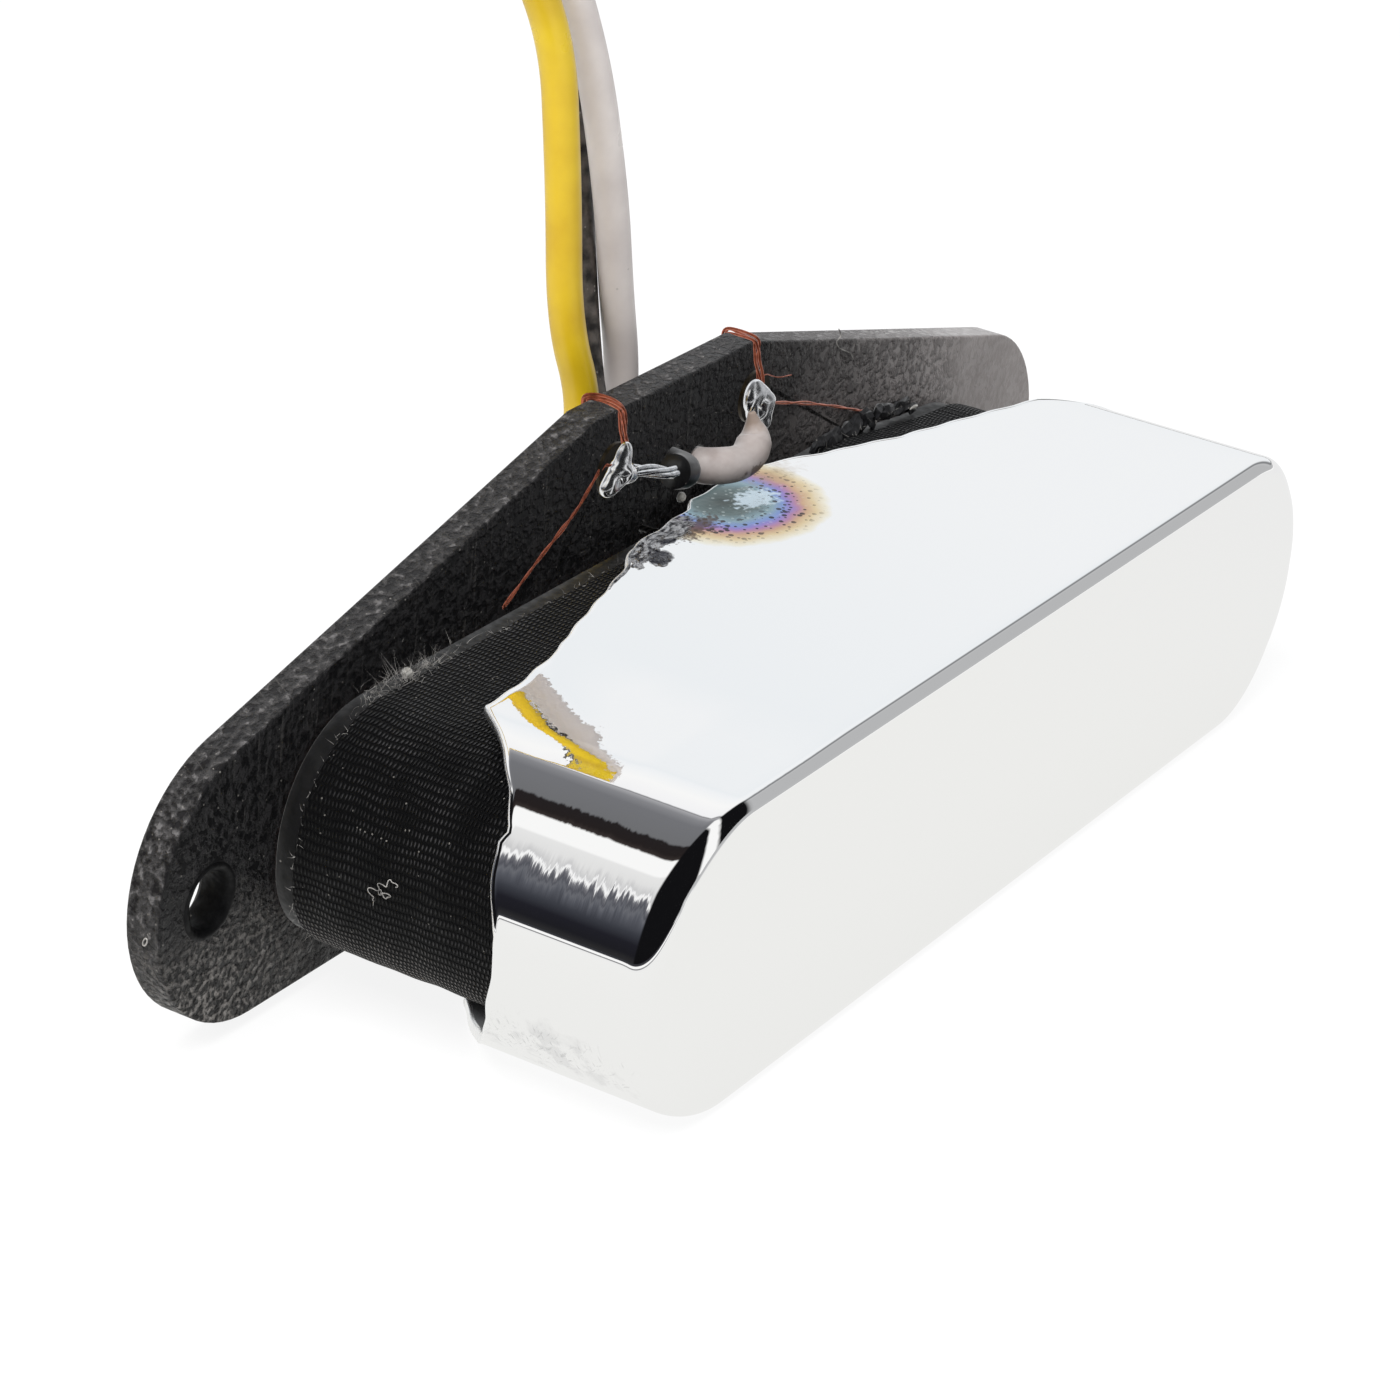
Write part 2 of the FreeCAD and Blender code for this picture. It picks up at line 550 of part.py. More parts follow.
def make_nodes():
    """Every separate piece of the pickup, by name."""
    nodes = {
        "base_plate": base_plate(),
        "front_plate": front_plate(),
        "core_wax": core_wax(),
        "coil_winding": coil_winding(),
        "coil_inner_tape": coil_inner_tape(),
        "coil_cloth_tape": coil_cloth_tape(),
        "cover": cover(),
        "cover_ground_solder": cover_ground_solder(),
        "ground_wire": routed_tube("ground wire", GROUND_WIRE_ROUTE, GROUND_WIRE_DIAMETER),
        "black_lead_end": routed_tube("black lead's end", BLACK_END_ROUTE, LEAD_DIAMETER),
        "white_lead_end": routed_tube("white lead's end", WHITE_END_ROUTE, LEAD_DIAMETER),
        "black_lead_strands": black_lead_strands(),
        "white_lead_strands": white_lead_strands(),
        "lead_tie": lead_tie(),
    }
    for number, x in enumerate(magnet_places(), start=1):
        nodes[f"pole_magnet_{number}"] = pole_magnet(x)
    for side, x, wrap_shift, run in (
        ("left", LEFT_EYELET_X, LEFT_WRAP_SHIFT, -LEFT_COIL_WIRE_RUN),
        ("right", RIGHT_EYELET_X, RIGHT_WRAP_SHIFT, RIGHT_COIL_WIRE_RUN),
    ):
        nodes[f"{side}_eyelet"] = eyelet(x)
        nodes[f"{side}_solder"] = eyelet_solder(x)
        nodes[f"{side}_wire_wrap"] = wire_wrap(x + wrap_shift)
        nodes[f"{side}_coil_wire"] = coil_wire(x, run)
    for name, route in ROUTES.items():
        nodes[f"{name}_lead"] = routed_tube(f"{name} lead", route, LEAD_DIAMETER)
        nodes[f"{name}_lead_loop"] = lead_loop(name)
        nodes[f"{name}_lead_tip"] = lead_tip(name)
    return nodes


os.makedirs("parts", exist_ok=True)
for node_name, node_shape in make_nodes().items():
    node_shape.exportStep(f"parts/{node_name}.step")
    print(f"{node_name}: valid {node_shape.isValid()}, solids {len(node_shape.Solids)}, "
          f"volume {node_shape.Volume:.2f}")
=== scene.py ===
"""Slim single-coil guitar pickup with a metal cover: its looks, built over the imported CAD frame.

Sizes are written in millimetres and become metres when a mesh is made. X runs along the pickup, Y from the
cover's face to the leads behind the base plate, and Z up, with the pickup lying on the cover's long side.
"""

import logging
import math
from dataclasses import dataclass
from enum import Enum
from functools import partial, reduce
from typing import Any

import bmesh
import bpy
import numpy as np
from mathutils import Matrix


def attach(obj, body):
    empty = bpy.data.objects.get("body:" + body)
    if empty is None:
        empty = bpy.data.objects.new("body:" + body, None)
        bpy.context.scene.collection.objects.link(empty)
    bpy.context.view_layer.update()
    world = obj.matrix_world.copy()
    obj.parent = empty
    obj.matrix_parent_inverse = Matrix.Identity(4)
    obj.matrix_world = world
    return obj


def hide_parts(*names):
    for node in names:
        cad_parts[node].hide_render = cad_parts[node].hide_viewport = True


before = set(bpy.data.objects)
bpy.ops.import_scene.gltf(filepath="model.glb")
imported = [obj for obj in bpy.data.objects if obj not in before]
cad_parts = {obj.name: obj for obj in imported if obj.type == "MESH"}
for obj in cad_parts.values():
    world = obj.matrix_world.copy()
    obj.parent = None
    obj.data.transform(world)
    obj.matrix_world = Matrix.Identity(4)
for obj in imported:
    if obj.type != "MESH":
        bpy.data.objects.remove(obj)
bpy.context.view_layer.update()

Point = tuple[float, float, float]
Colour = tuple[float, float, float]
Piece = bpy.types.Object
Socket = bpy.types.NodeSocket

log = logging.getLogger("pickup")
MM = 0.001
FLOOR_Z = -7.75
WHITE: Colour = (1.0, 1.0, 1.0)
# Directions that a wire or stub never follows, so that its cross-section doesn't flip along it
SKEW: Point = (0.13, 0.21, 0.97)
ALONG: Point = (1.0, 0.1, 0.1)
ACROSS: Point = (0.1, 0.95, 0.2)
RISING: Point = (0.05, 0.1, 1.0)


class Seed(Enum):
    """Which random pattern a hand-made piece gets, so that no two are alike."""

    SMOOTH_TAPE = 5
    HAIR = 7
    WINDING = 9
    LEFT = 11
    LEFT_LEAD = 12
    TIE = 17
    RIGHT = 23
    RIGHT_LEAD = 24
    TIE_EDGE = 29
    TAPE = 37
    GLUE = 53


def srgb(red: int, green: int, blue: int) -> Colour:
    """Linear colour for a colour as the photograph's pixels give it, 0 to 255."""
    shares = np.array([red, green, blue]) / 255.0
    return tuple(np.where(shares <= 0.04045, shares / 12.92, ((shares + 0.055) / 1.055) ** 2.4).tolist())


DUST = srgb(150, 146, 140)


def ripple(u: np.ndarray, v: np.ndarray, seed: Seed, waves: int = 5) -> np.ndarray:
    """Smooth unevenness: the mean of sines of u and v with seeded whole-number rates and phases.

    Args:
        u: first parameter in radians, closed at 2 pi
        v: second parameter in radians
        seed: picks the rates and phases
        waves: how many sines are added

    Returns:
        Values between -1 and 1 in the shape of u and v together.
    """
    random = np.random.default_rng(seed.value)
    total = np.zeros(np.broadcast(u, v).shape)
    for _ in range(waves):
        rate_u, rate_v = random.integers(1, 5), random.integers(1, 5)
        total += np.sin(rate_u * u + rate_v * v + random.uniform(0, 2 * np.pi))
    return total / waves


def grid_faces(rows: int, columns: int, wrap_rows: bool = False) -> np.ndarray:
    """Four-sided faces between neighbouring points of a grid whose last column meets its first.

    Args:
        rows: number of rows
        columns: number of columns
        wrap_rows: whether the last row meets the first too

    Returns:
        Whole numbers, four to a face.
    """
    row = np.arange(rows if wrap_rows else rows - 1)[:, None]
    column = np.arange(columns)[None, :]
    below, beside = (row + 1) % rows, (column + 1) % columns
    this, other = row * columns, below * columns
    corners = [this + column, this + beside, other + beside, other + column]
    return np.stack(corners, axis=-1).reshape(-1, 4)


def add_object(name: str, data: Any) -> Piece:
    """Object of a mesh, curve, camera or lamp, at the origin and in the scene.

    Args:
        name: the object's name
        data: what it shows

    Returns:
        The object.
    """
    made = bpy.data.objects.new(name, data)
    bpy.context.scene.collection.objects.link(made)
    return made


def finish_mesh(
    name: str, mesh: bpy.types.Mesh, smooth: bool = True, gap: float = 2e-7, sliver: float = 1e-7
) -> Piece:
    """Makes a piece of a mesh in metres: merges doubled points and turns the faces outwards.

    Args:
        name: the piece's name
        mesh: its mesh
        smooth: whether its faces are shaded smooth
        gap: points nearer than this are merged
        sliver: edges shorter than this are dissolved, or none if it is 0

    Returns:
        The piece, riding on the one body.
    """
    edit = bmesh.new()
    edit.from_mesh(mesh)
    bmesh.ops.remove_doubles(edit, verts=edit.verts, dist=gap)
    if sliver:
        bmesh.ops.dissolve_degenerate(edit, edges=edit.edges, dist=sliver)
    bmesh.ops.recalc_face_normals(edit, faces=edit.faces)
    edit.to_mesh(mesh)
    edit.free()
    mesh.polygons.foreach_set("use_smooth", np.full(len(mesh.polygons), smooth))
    mesh.update()
    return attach(add_object(name, mesh), "root")


def make_piece(
    name: str, grid: np.ndarray, wrap_rows: bool = False, uv: np.ndarray | None = None, smooth: bool = True
) -> Piece:
    """Piece from a grid of points in millimetres, whose last column meets its first.

    Args:
        name: the piece's name
        grid: points, rows by columns by three
        wrap_rows: whether the last row meets the first
        uv: surface places, rows by columns by two, or none
        smooth: whether its faces are shaded smooth

    Returns:
        The piece, merged where points meet and facing outwards.
    """
    faces = grid_faces(*grid.shape[:2], wrap_rows)
    mesh = bpy.data.meshes.new(name)
    mesh.from_pydata((grid.reshape(-1, 3) * MM).tolist(), [], faces.tolist())
    if uv is not None:
        layer = mesh.uv_layers.new(name="surface")
        layer.data.foreach_set("uv", uv.reshape(-1, 2)[faces.reshape(-1)].astype(np.float32).reshape(-1))
    return finish_mesh(name, mesh, smooth)


def join_pieces(name: str, parts: list[Piece]) -> Piece:
    """Makes one piece of several that were worked out apart.

    Args:
        name: the joined piece's name
        parts: the pieces, which are used up

    Returns:
        The joined piece, riding on the one body.
    """
    edit = bmesh.new()
    for part in parts:
        edit.from_mesh(part.data)
        bpy.data.objects.remove(part)
    mesh = bpy.data.meshes.new(name)
    edit.to_mesh(mesh)
    edit.free()
    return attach(add_object(name, mesh), "root")


def smooth_line(points: list[Point], count: int) -> np.ndarray:
    """Smooth line through points: Catmull-Rom blends of each four neighbours, as one array.

    Args:
        points: places in millimetres
        count: points wanted

    Returns:
        The line, count by three.
    """
    known = np.array(points, float)
    known = np.vstack([2 * known[0] - known[1], known, 2 * known[-1] - known[-2]])
    place = np.linspace(0, len(points) - 1, count)
    index = np.minimum(place.astype(int), len(points) - 2)
    t = (place - index)[:, None]
    a, b, c, d = known[index], known[index + 1], known[index + 2], known[index + 3]
    return 0.5 * (2 * b + (c - a) * t + (2 * a - 5 * b + 4 * c - d) * t**2 + (3 * b - a - 3 * c + d) * t**3)


def line_frames(line: np.ndarray, up: Point) -> tuple[np.ndarray, np.ndarray]:
    """Two directions across a line, one of them nearest to up: cross products with its heading.

    Args:
        line: points, count by three
        up: direction that no stretch of the line follows

    Returns:
        Sideways and upwards directions, each count by three.
    """
    heading = np.gradient(line, axis=0)
    heading /= np.linalg.norm(heading, axis=1, keepdims=True)
    sideways = np.cross(heading, np.array(up))
    sideways /= np.linalg.norm(sideways, axis=1, keepdims=True)
    return sideways, np.cross(sideways, heading)


def tube_piece(name: str, line: np.ndarray, radius: float | np.ndarray, sides: int, up: Point) -> Piece:
    """Tube round a line, closed at both ends: line + radius (cos a sideways + sin a upwards).

    Args:
        name: the piece's name
        line: centre points in millimetres
        radius: one radius, or one for each point
        sides: points round the tube
        up: direction that no stretch of the line follows

    Returns:
        The tube.
    """
    sideways, upwards = line_frames(line, up)
    radii = np.broadcast_to(np.asarray(radius, float), len(line))[:, None, None]
    angle = np.linspace(0, 2 * np.pi, sides, endpoint=False)[None, :, None]
    wall = line[:, None] + radii * (np.cos(angle) * sideways[:, None] + np.sin(angle) * upwards[:, None])
    ends = [np.broadcast_to(line[end], (1, sides, 3)) for end in (0, -1)]
    return make_piece(name, np.concatenate([ends[0], wall, ends[1]]))


def drop_piece(
    name: str,
    centre: Point,
    size: Point,
    seed: Seed,
    rough: float,
    lobes: tuple[tuple[Point, float, float], ...] = (),
) -> Piece:
    """Lumpy drop: an ellipsoid whose radius grows and shrinks with a ripple of its two angles.

    In the direction of each lobe it grows by the lobe's height times e to its sharpness times (cosine of the
    angle from the lobe - 1). A drop with lobes has finer points and ripples.

    Args:
        name: the piece's name
        centre: its middle in millimetres
        size: its three half sizes in millimetres
        seed: picks the ripple
        rough: height of the ripple as a share of the radius
        lobes: direction, height in millimetres and sharpness of each lobe

    Returns:
        The drop.
    """
    rows, columns, rate = (64, 96, 3) if lobes else (28, 40, 2)
    down = np.linspace(0, np.pi, rows)[:, None]
    turn = np.linspace(0, 2 * np.pi, columns, endpoint=False)[None, :]
    wide = np.sin(down)
    unit = np.stack([wide * np.cos(turn), wide * np.sin(turn), np.cos(down) + 0 * turn], axis=-1)
    swell = 1 + rough * wide * ripple(turn, rate * down, seed)
    body = unit * swell[..., None] * np.array(size)
    for direction, height, sharp in lobes:
        aim = np.array(direction) / np.linalg.norm(direction)
        body = body + unit * (height * np.exp(sharp * (unit @ aim - 1)))[..., None]
    return make_piece(name, np.array(centre) + body)


@dataclass(frozen=True)
class Twist:
    """Several wires laid round one line, each at its own angle, which grows along the line."""

    strands: int
    spread: float
    turns: float
    thick: float
    up: Point
    sides: int = 8
    step: float = 0.0
    wave: float = 0.022

    def build(self, name: str, points: list[Point], count: int, seed: Seed | None = None) -> Piece:
        """Makes the wires: line + spread (cos a sideways + sin a upwards), with three sines of waviness.

        Args:
            name: the piece's name
            points: the line in millimetres
            count: points along each wire
            seed: picks the waviness, or none for straight wires

        Returns:
            The wires as one piece.
        """
        random = np.random.default_rng(seed.value if seed else 0)
        line = smooth_line(points, count)
        sideways, upwards = line_frames(line, self.up)
        share = np.linspace(0, 1, count)[:, None]
        step = self.step or 2 * np.pi / self.strands
        parts = []
        for number in range(self.strands):
            angle = number * step + np.linspace(0, 2 * np.pi * self.turns, count)[:, None]
            own = line + self.spread * (np.cos(angle) * sideways + np.sin(angle) * upwards)
            if seed:
                height = random.normal(0, 1, (3, 3))
                waves = (np.sin((k + 2) * np.pi * share + random.uniform(0, 6)) * height[k] for k in range(3))
                own = own + self.wave * sum(waves)
            parts.append(tube_piece(f"{name}_{number}", own, self.thick, self.sides, self.up))
        return join_pieces(name, parts)


class Outline:
    """Long outline with rounded ends, seen along Y, from the top's right end over the left end.

    Its corners share one radius round four centres: a point is its centre plus the radius times outward.
    """

    def __init__(self, half_straight: float, half_flat: float, straight: int, arc: int) -> None:
        """Works out the centres and the outward directions.

        Args:
            half_straight: X of the right centres
            half_flat: Z of the upper centres
            straight: points along each long side
            arc: points round each quarter
        """
        across, level = np.linspace(1, -1, straight), np.ones(straight)
        quarter, one = np.linspace(0, np.pi / 2, arc)[1:], np.ones(arc - 1)
        sine, cosine = np.sin(quarter), np.cos(quarter)
        self.x = np.concatenate([across, -one, -one, -across[1:], one, one[:-1]]) * half_straight
        self.z = np.concatenate([level, one, -one, -level[1:], -one, one[:-1]]) * half_flat
        self.out_x = np.concatenate([0 * across, -sine, -cosine, 0 * across[1:], sine, cosine[:-1]])
        self.out_z = np.concatenate([level, cosine, -sine, -level[1:], -cosine, sine[:-1]])

    def layer(self, radius: Any, depth: Any, keep: float = 1.0) -> np.ndarray:
        """Points at a radius and a depth along Y, with the centres' height times keep."""
        x, z = self.x + radius * self.out_x, self.z * keep + radius * self.out_z
        return np.stack(np.broadcast_arrays(x, depth, z), axis=-1)


class Tree:
    """A node tree with short ways to add nodes.

    A value is a number, a colour, a vector or an output socket.
    """

    def __init__(self, tree: bpy.types.NodeTree) -> None:
        """Keeps the tree that nodes are added to."""
        self.tree = tree

    def add(self, kind: str, inputs: dict[Any, Any] | None = None, **settings: Any) -> Any:
        """Adds a node, sets its options and fills or links its inputs.

        Args:
            kind: the node's type after ShaderNode
            inputs: value for each input, by name or number
            settings: options set on the node

        Returns:
            The node's outputs.
        """
        node = self.tree.nodes.new("ShaderNode" + kind)
        for option, value in settings.items():
            setattr(node, option, value)
        for key, value in (inputs or {}).items():
            socket = node.inputs[key]
            if isinstance(value, Socket):
                self.tree.links.new(value, socket)
            else:
                socket.default_value = (*value, 1.0) if socket.type == "RGBA" else value
        return node.outputs

    def math(self, operation: str, first: Any, second: Any = 0.0, third: Any = 0.0) -> Socket:
        """Result of a sum on one to three values."""
        return self.add("Math", {0: first, 1: second, 2: third}, operation=operation)[0]

    def plus(self, *values: Any) -> Socket:
        """Sum of several values."""
        return reduce(partial(self.math, "ADD"), values)

    def times(self, *values: Any) -> Socket:
        """Product of several values."""
        return reduce(partial(self.math, "MULTIPLY"), values)

    def most(self, *values: Any) -> Socket:
        """Greatest of several values."""
        return reduce(partial(self.math, "MAXIMUM"), values)

    def less(self, first: Any, second: Any) -> Socket:
        """The first value less the second."""
        return self.math("SUBTRACT", first, second)

    def over(self, first: Any, second: Any) -> Socket:
        """The first value over the second."""
        return self.math("DIVIDE", first, second)

    def vector(self, operation: str, first: Any, second: Any = None) -> Socket:
        """Result of a sum on vectors, a number if it is a length or a dot product.

        Args:
            operation: the sum
            first: a vector
            second: a vector, or the number that a vector is scaled by

        Returns:
            The result.
        """
        inputs = {0: first}
        if second is not None:
            inputs[3 if operation == "SCALE" else 1] = second
        made = self.add("VectorMath", inputs, operation=operation)
        return made[1 if operation in ("LENGTH", "DOT_PRODUCT") else 0]

    def parts(self, vector: Socket) -> Any:
        """X, Y and Z of a vector."""
        return self.add("SeparateXYZ", {0: vector})

    def join(self, x: Any, y: Any, z: Any) -> Socket:
        """Vector of X, Y and Z."""
        return self.add("CombineXYZ", {0: x, 1: y, 2: z})[0]

    def blend(self, share: Any, first: Any, second: Any) -> Socket:
        """Colour between two colours by a share."""
        return self.add("Mix", {0: share, 6: first, 7: second}, data_type="RGBA")[2]

    def remap(self, value: Any, low: float, high: float, first: float = 0.0, last: float = 1.0) -> Socket:
        """Value moved from one range to another and held inside it."""
        return self.add("MapRange", {0: value, 1: low, 2: high, 3: first, 4: last})[0]

    def fall(self, value: Any, low: float, high: float) -> Socket:
        """1 below a low value, falling to 0 at a high one."""
        return self.remap(value, low, high, 1.0, 0.0)

    def span(self, share: Any, first: float, last: float) -> Socket:
        """Value between two by a share from 0 to 1."""
        return self.remap(share, 0.0, 1.0, first, last)

    def ramp(self, share: Any, stops: list[tuple[float, Colour]]) -> Socket:
        """Colour read from a ramp.

        Args:
            share: value that is looked up
            stops: places and colours along the ramp

        Returns:
            The colour.
        """
        made = self.add("ValToRGB", {0: share})[0]
        points = made.node.color_ramp.elements
        while len(points) < len(stops):
            points.new(1.0)
        for point, (place, colour) in zip(points, stops):
            point.position = place
            point.color = (*colour, 1.0)
        return made

    def curve(self, share: Any, stops: tuple[tuple[float, float], ...]) -> Socket:
        """Number read from straight runs between stops."""
        return self.ramp(share, [(place, (number, number, number)) for place, number in stops])

    def noise(self, where: Socket, scale: float | Socket, detail: float, roughness: float = 0.5) -> Any:
        """Layered noise over a place, as a number and a colour."""
        inputs = {"Vector": where, "Scale": scale, "Detail": detail, "Roughness": roughness}
        return self.add("TexNoise", inputs)

    def effect(self, name: str, where: Socket, **values: Any) -> Any:
        """Outputs of a shared effect, with underscores for the blanks in its inputs' names."""
        inputs = {label.replace("_", " "): value for label, value in values.items()}
        return self.add("Group", {"Vector": where, **inputs}, node_tree=bpy.data.node_groups[name])

    def mottle(
        self,
        where: Socket,
        grain: float,
        first: Colour,
        second: Colour,
        low: float = 0.35,
        high: float = 0.65,
    ) -> Any:
        """Cloudy change between two colours, as outputs Colour and Mask."""
        return self.effect("mottle", where, Grain=grain, Low=low, High=high, First=first, Second=second)

    def speckle(self, where: Socket, spacing: float, size: float, amount: float) -> Socket:
        """Small round specks, as a mask."""
        return self.effect("speckle", where, Spacing=spacing, Size=size, Amount=amount)[0]

    def scratches(self, where: Socket, length: float, width: float, amount: float) -> Socket:
        """Thin scratches, as a mask."""
        return self.effect("scratches", where, Length=length, Width=width, Amount=amount)[0]


class Group(Tree):
    """A shader node group begun: what it is given and what it puts out."""

    def __init__(self, name: str, inputs: dict[str, float | str], outputs: dict[str, str]) -> None:
        """Makes the group with its named sockets.

        Args:
            name: the group's name
            inputs: first value of each number, and the kind of each other input, besides Vector
            outputs: kind of each output
        """
        tree = bpy.data.node_groups.new(name, "ShaderNodeTree")
        super().__init__(tree)
        for label, value in {"Vector": "Vector", **inputs}.items():
            kind = "Float" if isinstance(value, float) else value
            socket = tree.interface.new_socket(label, in_out="INPUT", socket_type="NodeSocket" + kind)
            if kind == "Float":
                socket.default_value = value
        for label, kind in outputs.items():
            tree.interface.new_socket(label, in_out="OUTPUT", socket_type="NodeSocket" + kind)
        self.given = tree.nodes.new("NodeGroupInput").outputs
        self.out = tree.nodes.new("NodeGroupOutput").inputs

    def give(self, label: str, value: Socket) -> None:
        """Puts a value out."""
        self.tree.links.new(value, self.out[label])


class Effects:
    """Shader node groups that more than one material uses. Lengths in them are millimetres."""

    def __init__(self) -> None:
        """Builds each group once."""
        self.build_speckle()
        self.build_mottle()
        self.build_scratches()
        self.build_spot()
        self.build_weave()

    def build_speckle(self) -> None:
        """Small round specks: cells whose own random value passes the amount, inside a radius."""
        book = Group("speckle", {"Spacing": 1.0, "Size": 0.2, "Amount": 0.3}, {"Mask": "Float"})
        given = book.given
        rate = book.over(1000.0, given["Spacing"])
        cells = book.add("TexVoronoi", {"Vector": given["Vector"], "Scale": rate})
        near = book.math("LESS_THAN", cells["Distance"], given["Size"])
        pick = book.add("SeparateColor", {0: cells["Color"]})[0]
        book.give("Mask", book.times(near, book.math("LESS_THAN", pick, given["Amount"])))

    def build_mottle(self) -> None:
        """Cloudy change between two colours: layered noise, sharpened by a contrast."""
        inputs = {"Grain": 1.0, "Low": 0.35, "High": 0.65, "First": "Color", "Second": "Color"}
        book = Group("mottle", inputs, {"Colour": "Color", "Mask": "Float"})
        given = book.given
        cloud = book.noise(given["Vector"], book.over(1000.0, given["Grain"]), 5.0)[0]
        share = book.remap(cloud, given["Low"], given["High"])
        book.give("Colour", book.blend(share, given["First"], given["Second"]))
        book.give("Mask", share)

    def build_scratches(self) -> None:
        """Thin scratches in two directions: noise pulled long along each, kept where it is highest."""
        book = Group("scratches", {"Length": 4.0, "Width": 0.1, "Amount": 0.3}, {"Mask": "Float"})
        given = book.given
        lines = []
        for turn in (0.5, -1.1):
            size = book.join(given["Length"], given["Width"], given["Length"])
            turned = book.add("VectorRotate", {"Vector": given["Vector"], "Angle": turn})[0]
            rate = book.vector("DIVIDE", (1000.0, 1000.0, 1000.0), size)
            cloud = book.noise(book.vector("MULTIPLY", turned, rate), 1.0, 2.0)[0]
            top = book.less(0.8, book.times(given["Amount"], 0.2))
            lines.append(book.remap(cloud, top, 0.85))
        book.give("Mask", book.most(*lines))

    def build_spot(self) -> None:
        """Ragged spot: distance from a place over its half sizes, with noise added; 1 inside, 0 outside."""
        vectors = {"Centre": "Vector", "Half size": "Vector"}
        numbers = {"Ragged": 0.2, "Grain": 1.0, "Soft": 0.2}
        book = Group("spot", {**vectors, **numbers}, {"Mask": "Float", "Distance": "Float"})
        given = book.given
        centre, half = book.vector("SCALE", given["Centre"], MM), book.vector("SCALE", given["Half size"], MM)
        share = book.vector("DIVIDE", book.vector("SUBTRACT", given["Vector"], centre), half)
        cloud = book.noise(given["Vector"], book.over(1000.0, given["Grain"]), 4.0)[0]
        uneven = book.times(book.less(cloud, 0.5), given["Ragged"])
        distance = book.plus(book.vector("LENGTH", share), book.times(uneven, 2.0))
        book.give("Mask", book.fall(distance, book.less(1.0, given["Soft"]), 1.0))
        book.give("Distance", distance)

    def build_weave(self) -> None:
        """Ribbed weave on a surface map in millimetres: rows apart by a pitch, with stitches along each.

        Height is |sin(pi row)| times (0.6 + 0.4 sin(2 pi (along / pitch + half a step on every other row))).
        """
        book = Group("weave", {"Row pitch": 0.4, "Stitch pitch": 0.2}, {"Height": "Float"})
        given = book.given
        across, up, _ = book.parts(given["Vector"])
        row = book.over(across, given["Row pitch"])
        along = book.over(up, given["Stitch pitch"])
        rib = book.math("ABSOLUTE", book.math("SINE", book.times(row, math.pi)))
        shift = book.times(book.math("FLOOR", row), 0.5)
        stitch = book.math("SINE", book.times(book.plus(along, shift), 2 * math.pi))
        book.give("Height", book.times(rib, book.math("MULTIPLY_ADD", stitch, 0.4, 0.6)))


class Finish:
    """A material begun: its tree, its Principled shader, its coordinates and the colour laid so far."""

    def __init__(self, name: str, slot: str, colour: Any = None, **sockets: float) -> None:
        """Makes the material and sets the plain values on the shader's own sockets.

        Args:
            name: the material's name
            slot: the record's slot that it stands for
            colour: the first colour laid
            sockets: plain values, with underscores for the blanks in the sockets' names
        """
        self.slot = slot
        self.colour = colour
        self.material = bpy.data.materials.new(name)
        self.material.use_nodes = True
        self.book = Tree(self.material.node_tree)
        self.shader = self.material.node_tree.nodes["Principled BSDF"].inputs
        coordinates = self.book.add("TexCoord")
        self.place, self.surface = coordinates["Object"], coordinates["UV"]
        for label, value in sockets.items():
            self.shader[label.replace("_", " ")].default_value = value

    def paint(self, share: Any, colour: Any, strength: float = 1.0) -> None:
        """Lays a colour over what is laid so far, by a share times a strength."""
        share = share if strength == 1.0 else self.book.times(share, strength)
        self.colour = self.book.blend(share, self.colour, colour)

    def close(self, rough: Socket, height: Socket, depth: float, **normal: Socket) -> "Finish":
        """Feeds the shader the laid colour, the roughness and a bump.

        Args:
            rough: roughness
            height: height of the bump, 0 to 1
            depth: depth of the bump in millimetres
            normal: the Normal that the bump starts from, where it isn't the surface's own

        Returns:
            The finish.
        """
        bump = self.book.add("Bump", {"Height": height, "Distance": depth * MM, **normal})[0]
        for label, value in (("Base Color", self.colour), ("Roughness", rough), ("Normal", bump)):
            self.book.tree.links.new(value, self.shader[label])
        return self

    def dress(self, piece: Piece, *nodes: str, mirrored: bool = True) -> Piece:
        """Puts the finish on a piece.

        Args:
            piece: a mesh or curve object
            nodes: the CAD nodes that it replaces
            mirrored: whether the chrome mirrors it

        Returns:
            The same piece.
        """
        if nodes:
            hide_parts(*nodes)
        piece.data.materials.clear()
        piece.data.materials.append(self.material)
        if not mirrored:
            piece.visible_glossy = False
        return piece


@dataclass(frozen=True)
class Spot:
    """One ragged spot: its middle and half sizes in millimetres, and how ragged and soft its rim is."""

    centre: Point
    half: Point
    ragged: float
    grain: float
    soft: float

    def on(self, book: Tree, where: Socket, output: str = "Mask") -> Socket:
        """The spot's mask, or its distance, over a place."""
        sizes = {"Centre": self.centre, "Half_size": self.half, "Ragged": self.ragged, "Grain": self.grain}
        return book.effect("spot", where, **sizes, Soft=self.soft)[output]


@dataclass(frozen=True)
class Plastic:
    """Drawn or moulded plastic, tape, wax or lint: cloudy colour, faint dust and a soft uneven gloss.

    Rough is the lowest roughness, grain the clouds' size in millimetres, dusty how much dust lies on it and
    gloss the shader's own specular level.
    """

    name: str
    slot: str
    first: Colour
    second: Colour
    rough: float
    grain: float
    dusty: float
    gloss: float = 0.5

    def build(self) -> Finish:
        """Makes the material."""
        finish = Finish(self.name, self.slot, Specular_IOR_Level=self.gloss)
        book = finish.book
        cloud = book.mottle(finish.place, self.grain, self.first, self.second)
        finish.colour = cloud["Colour"]
        finish.paint(book.speckle(finish.place, 0.42, 0.16, 0.2 * self.dusty + 0.02), DUST, 0.5)
        return finish.close(book.span(cloud["Mask"], self.rough, self.rough + 0.14), cloud["Mask"], 0.012)


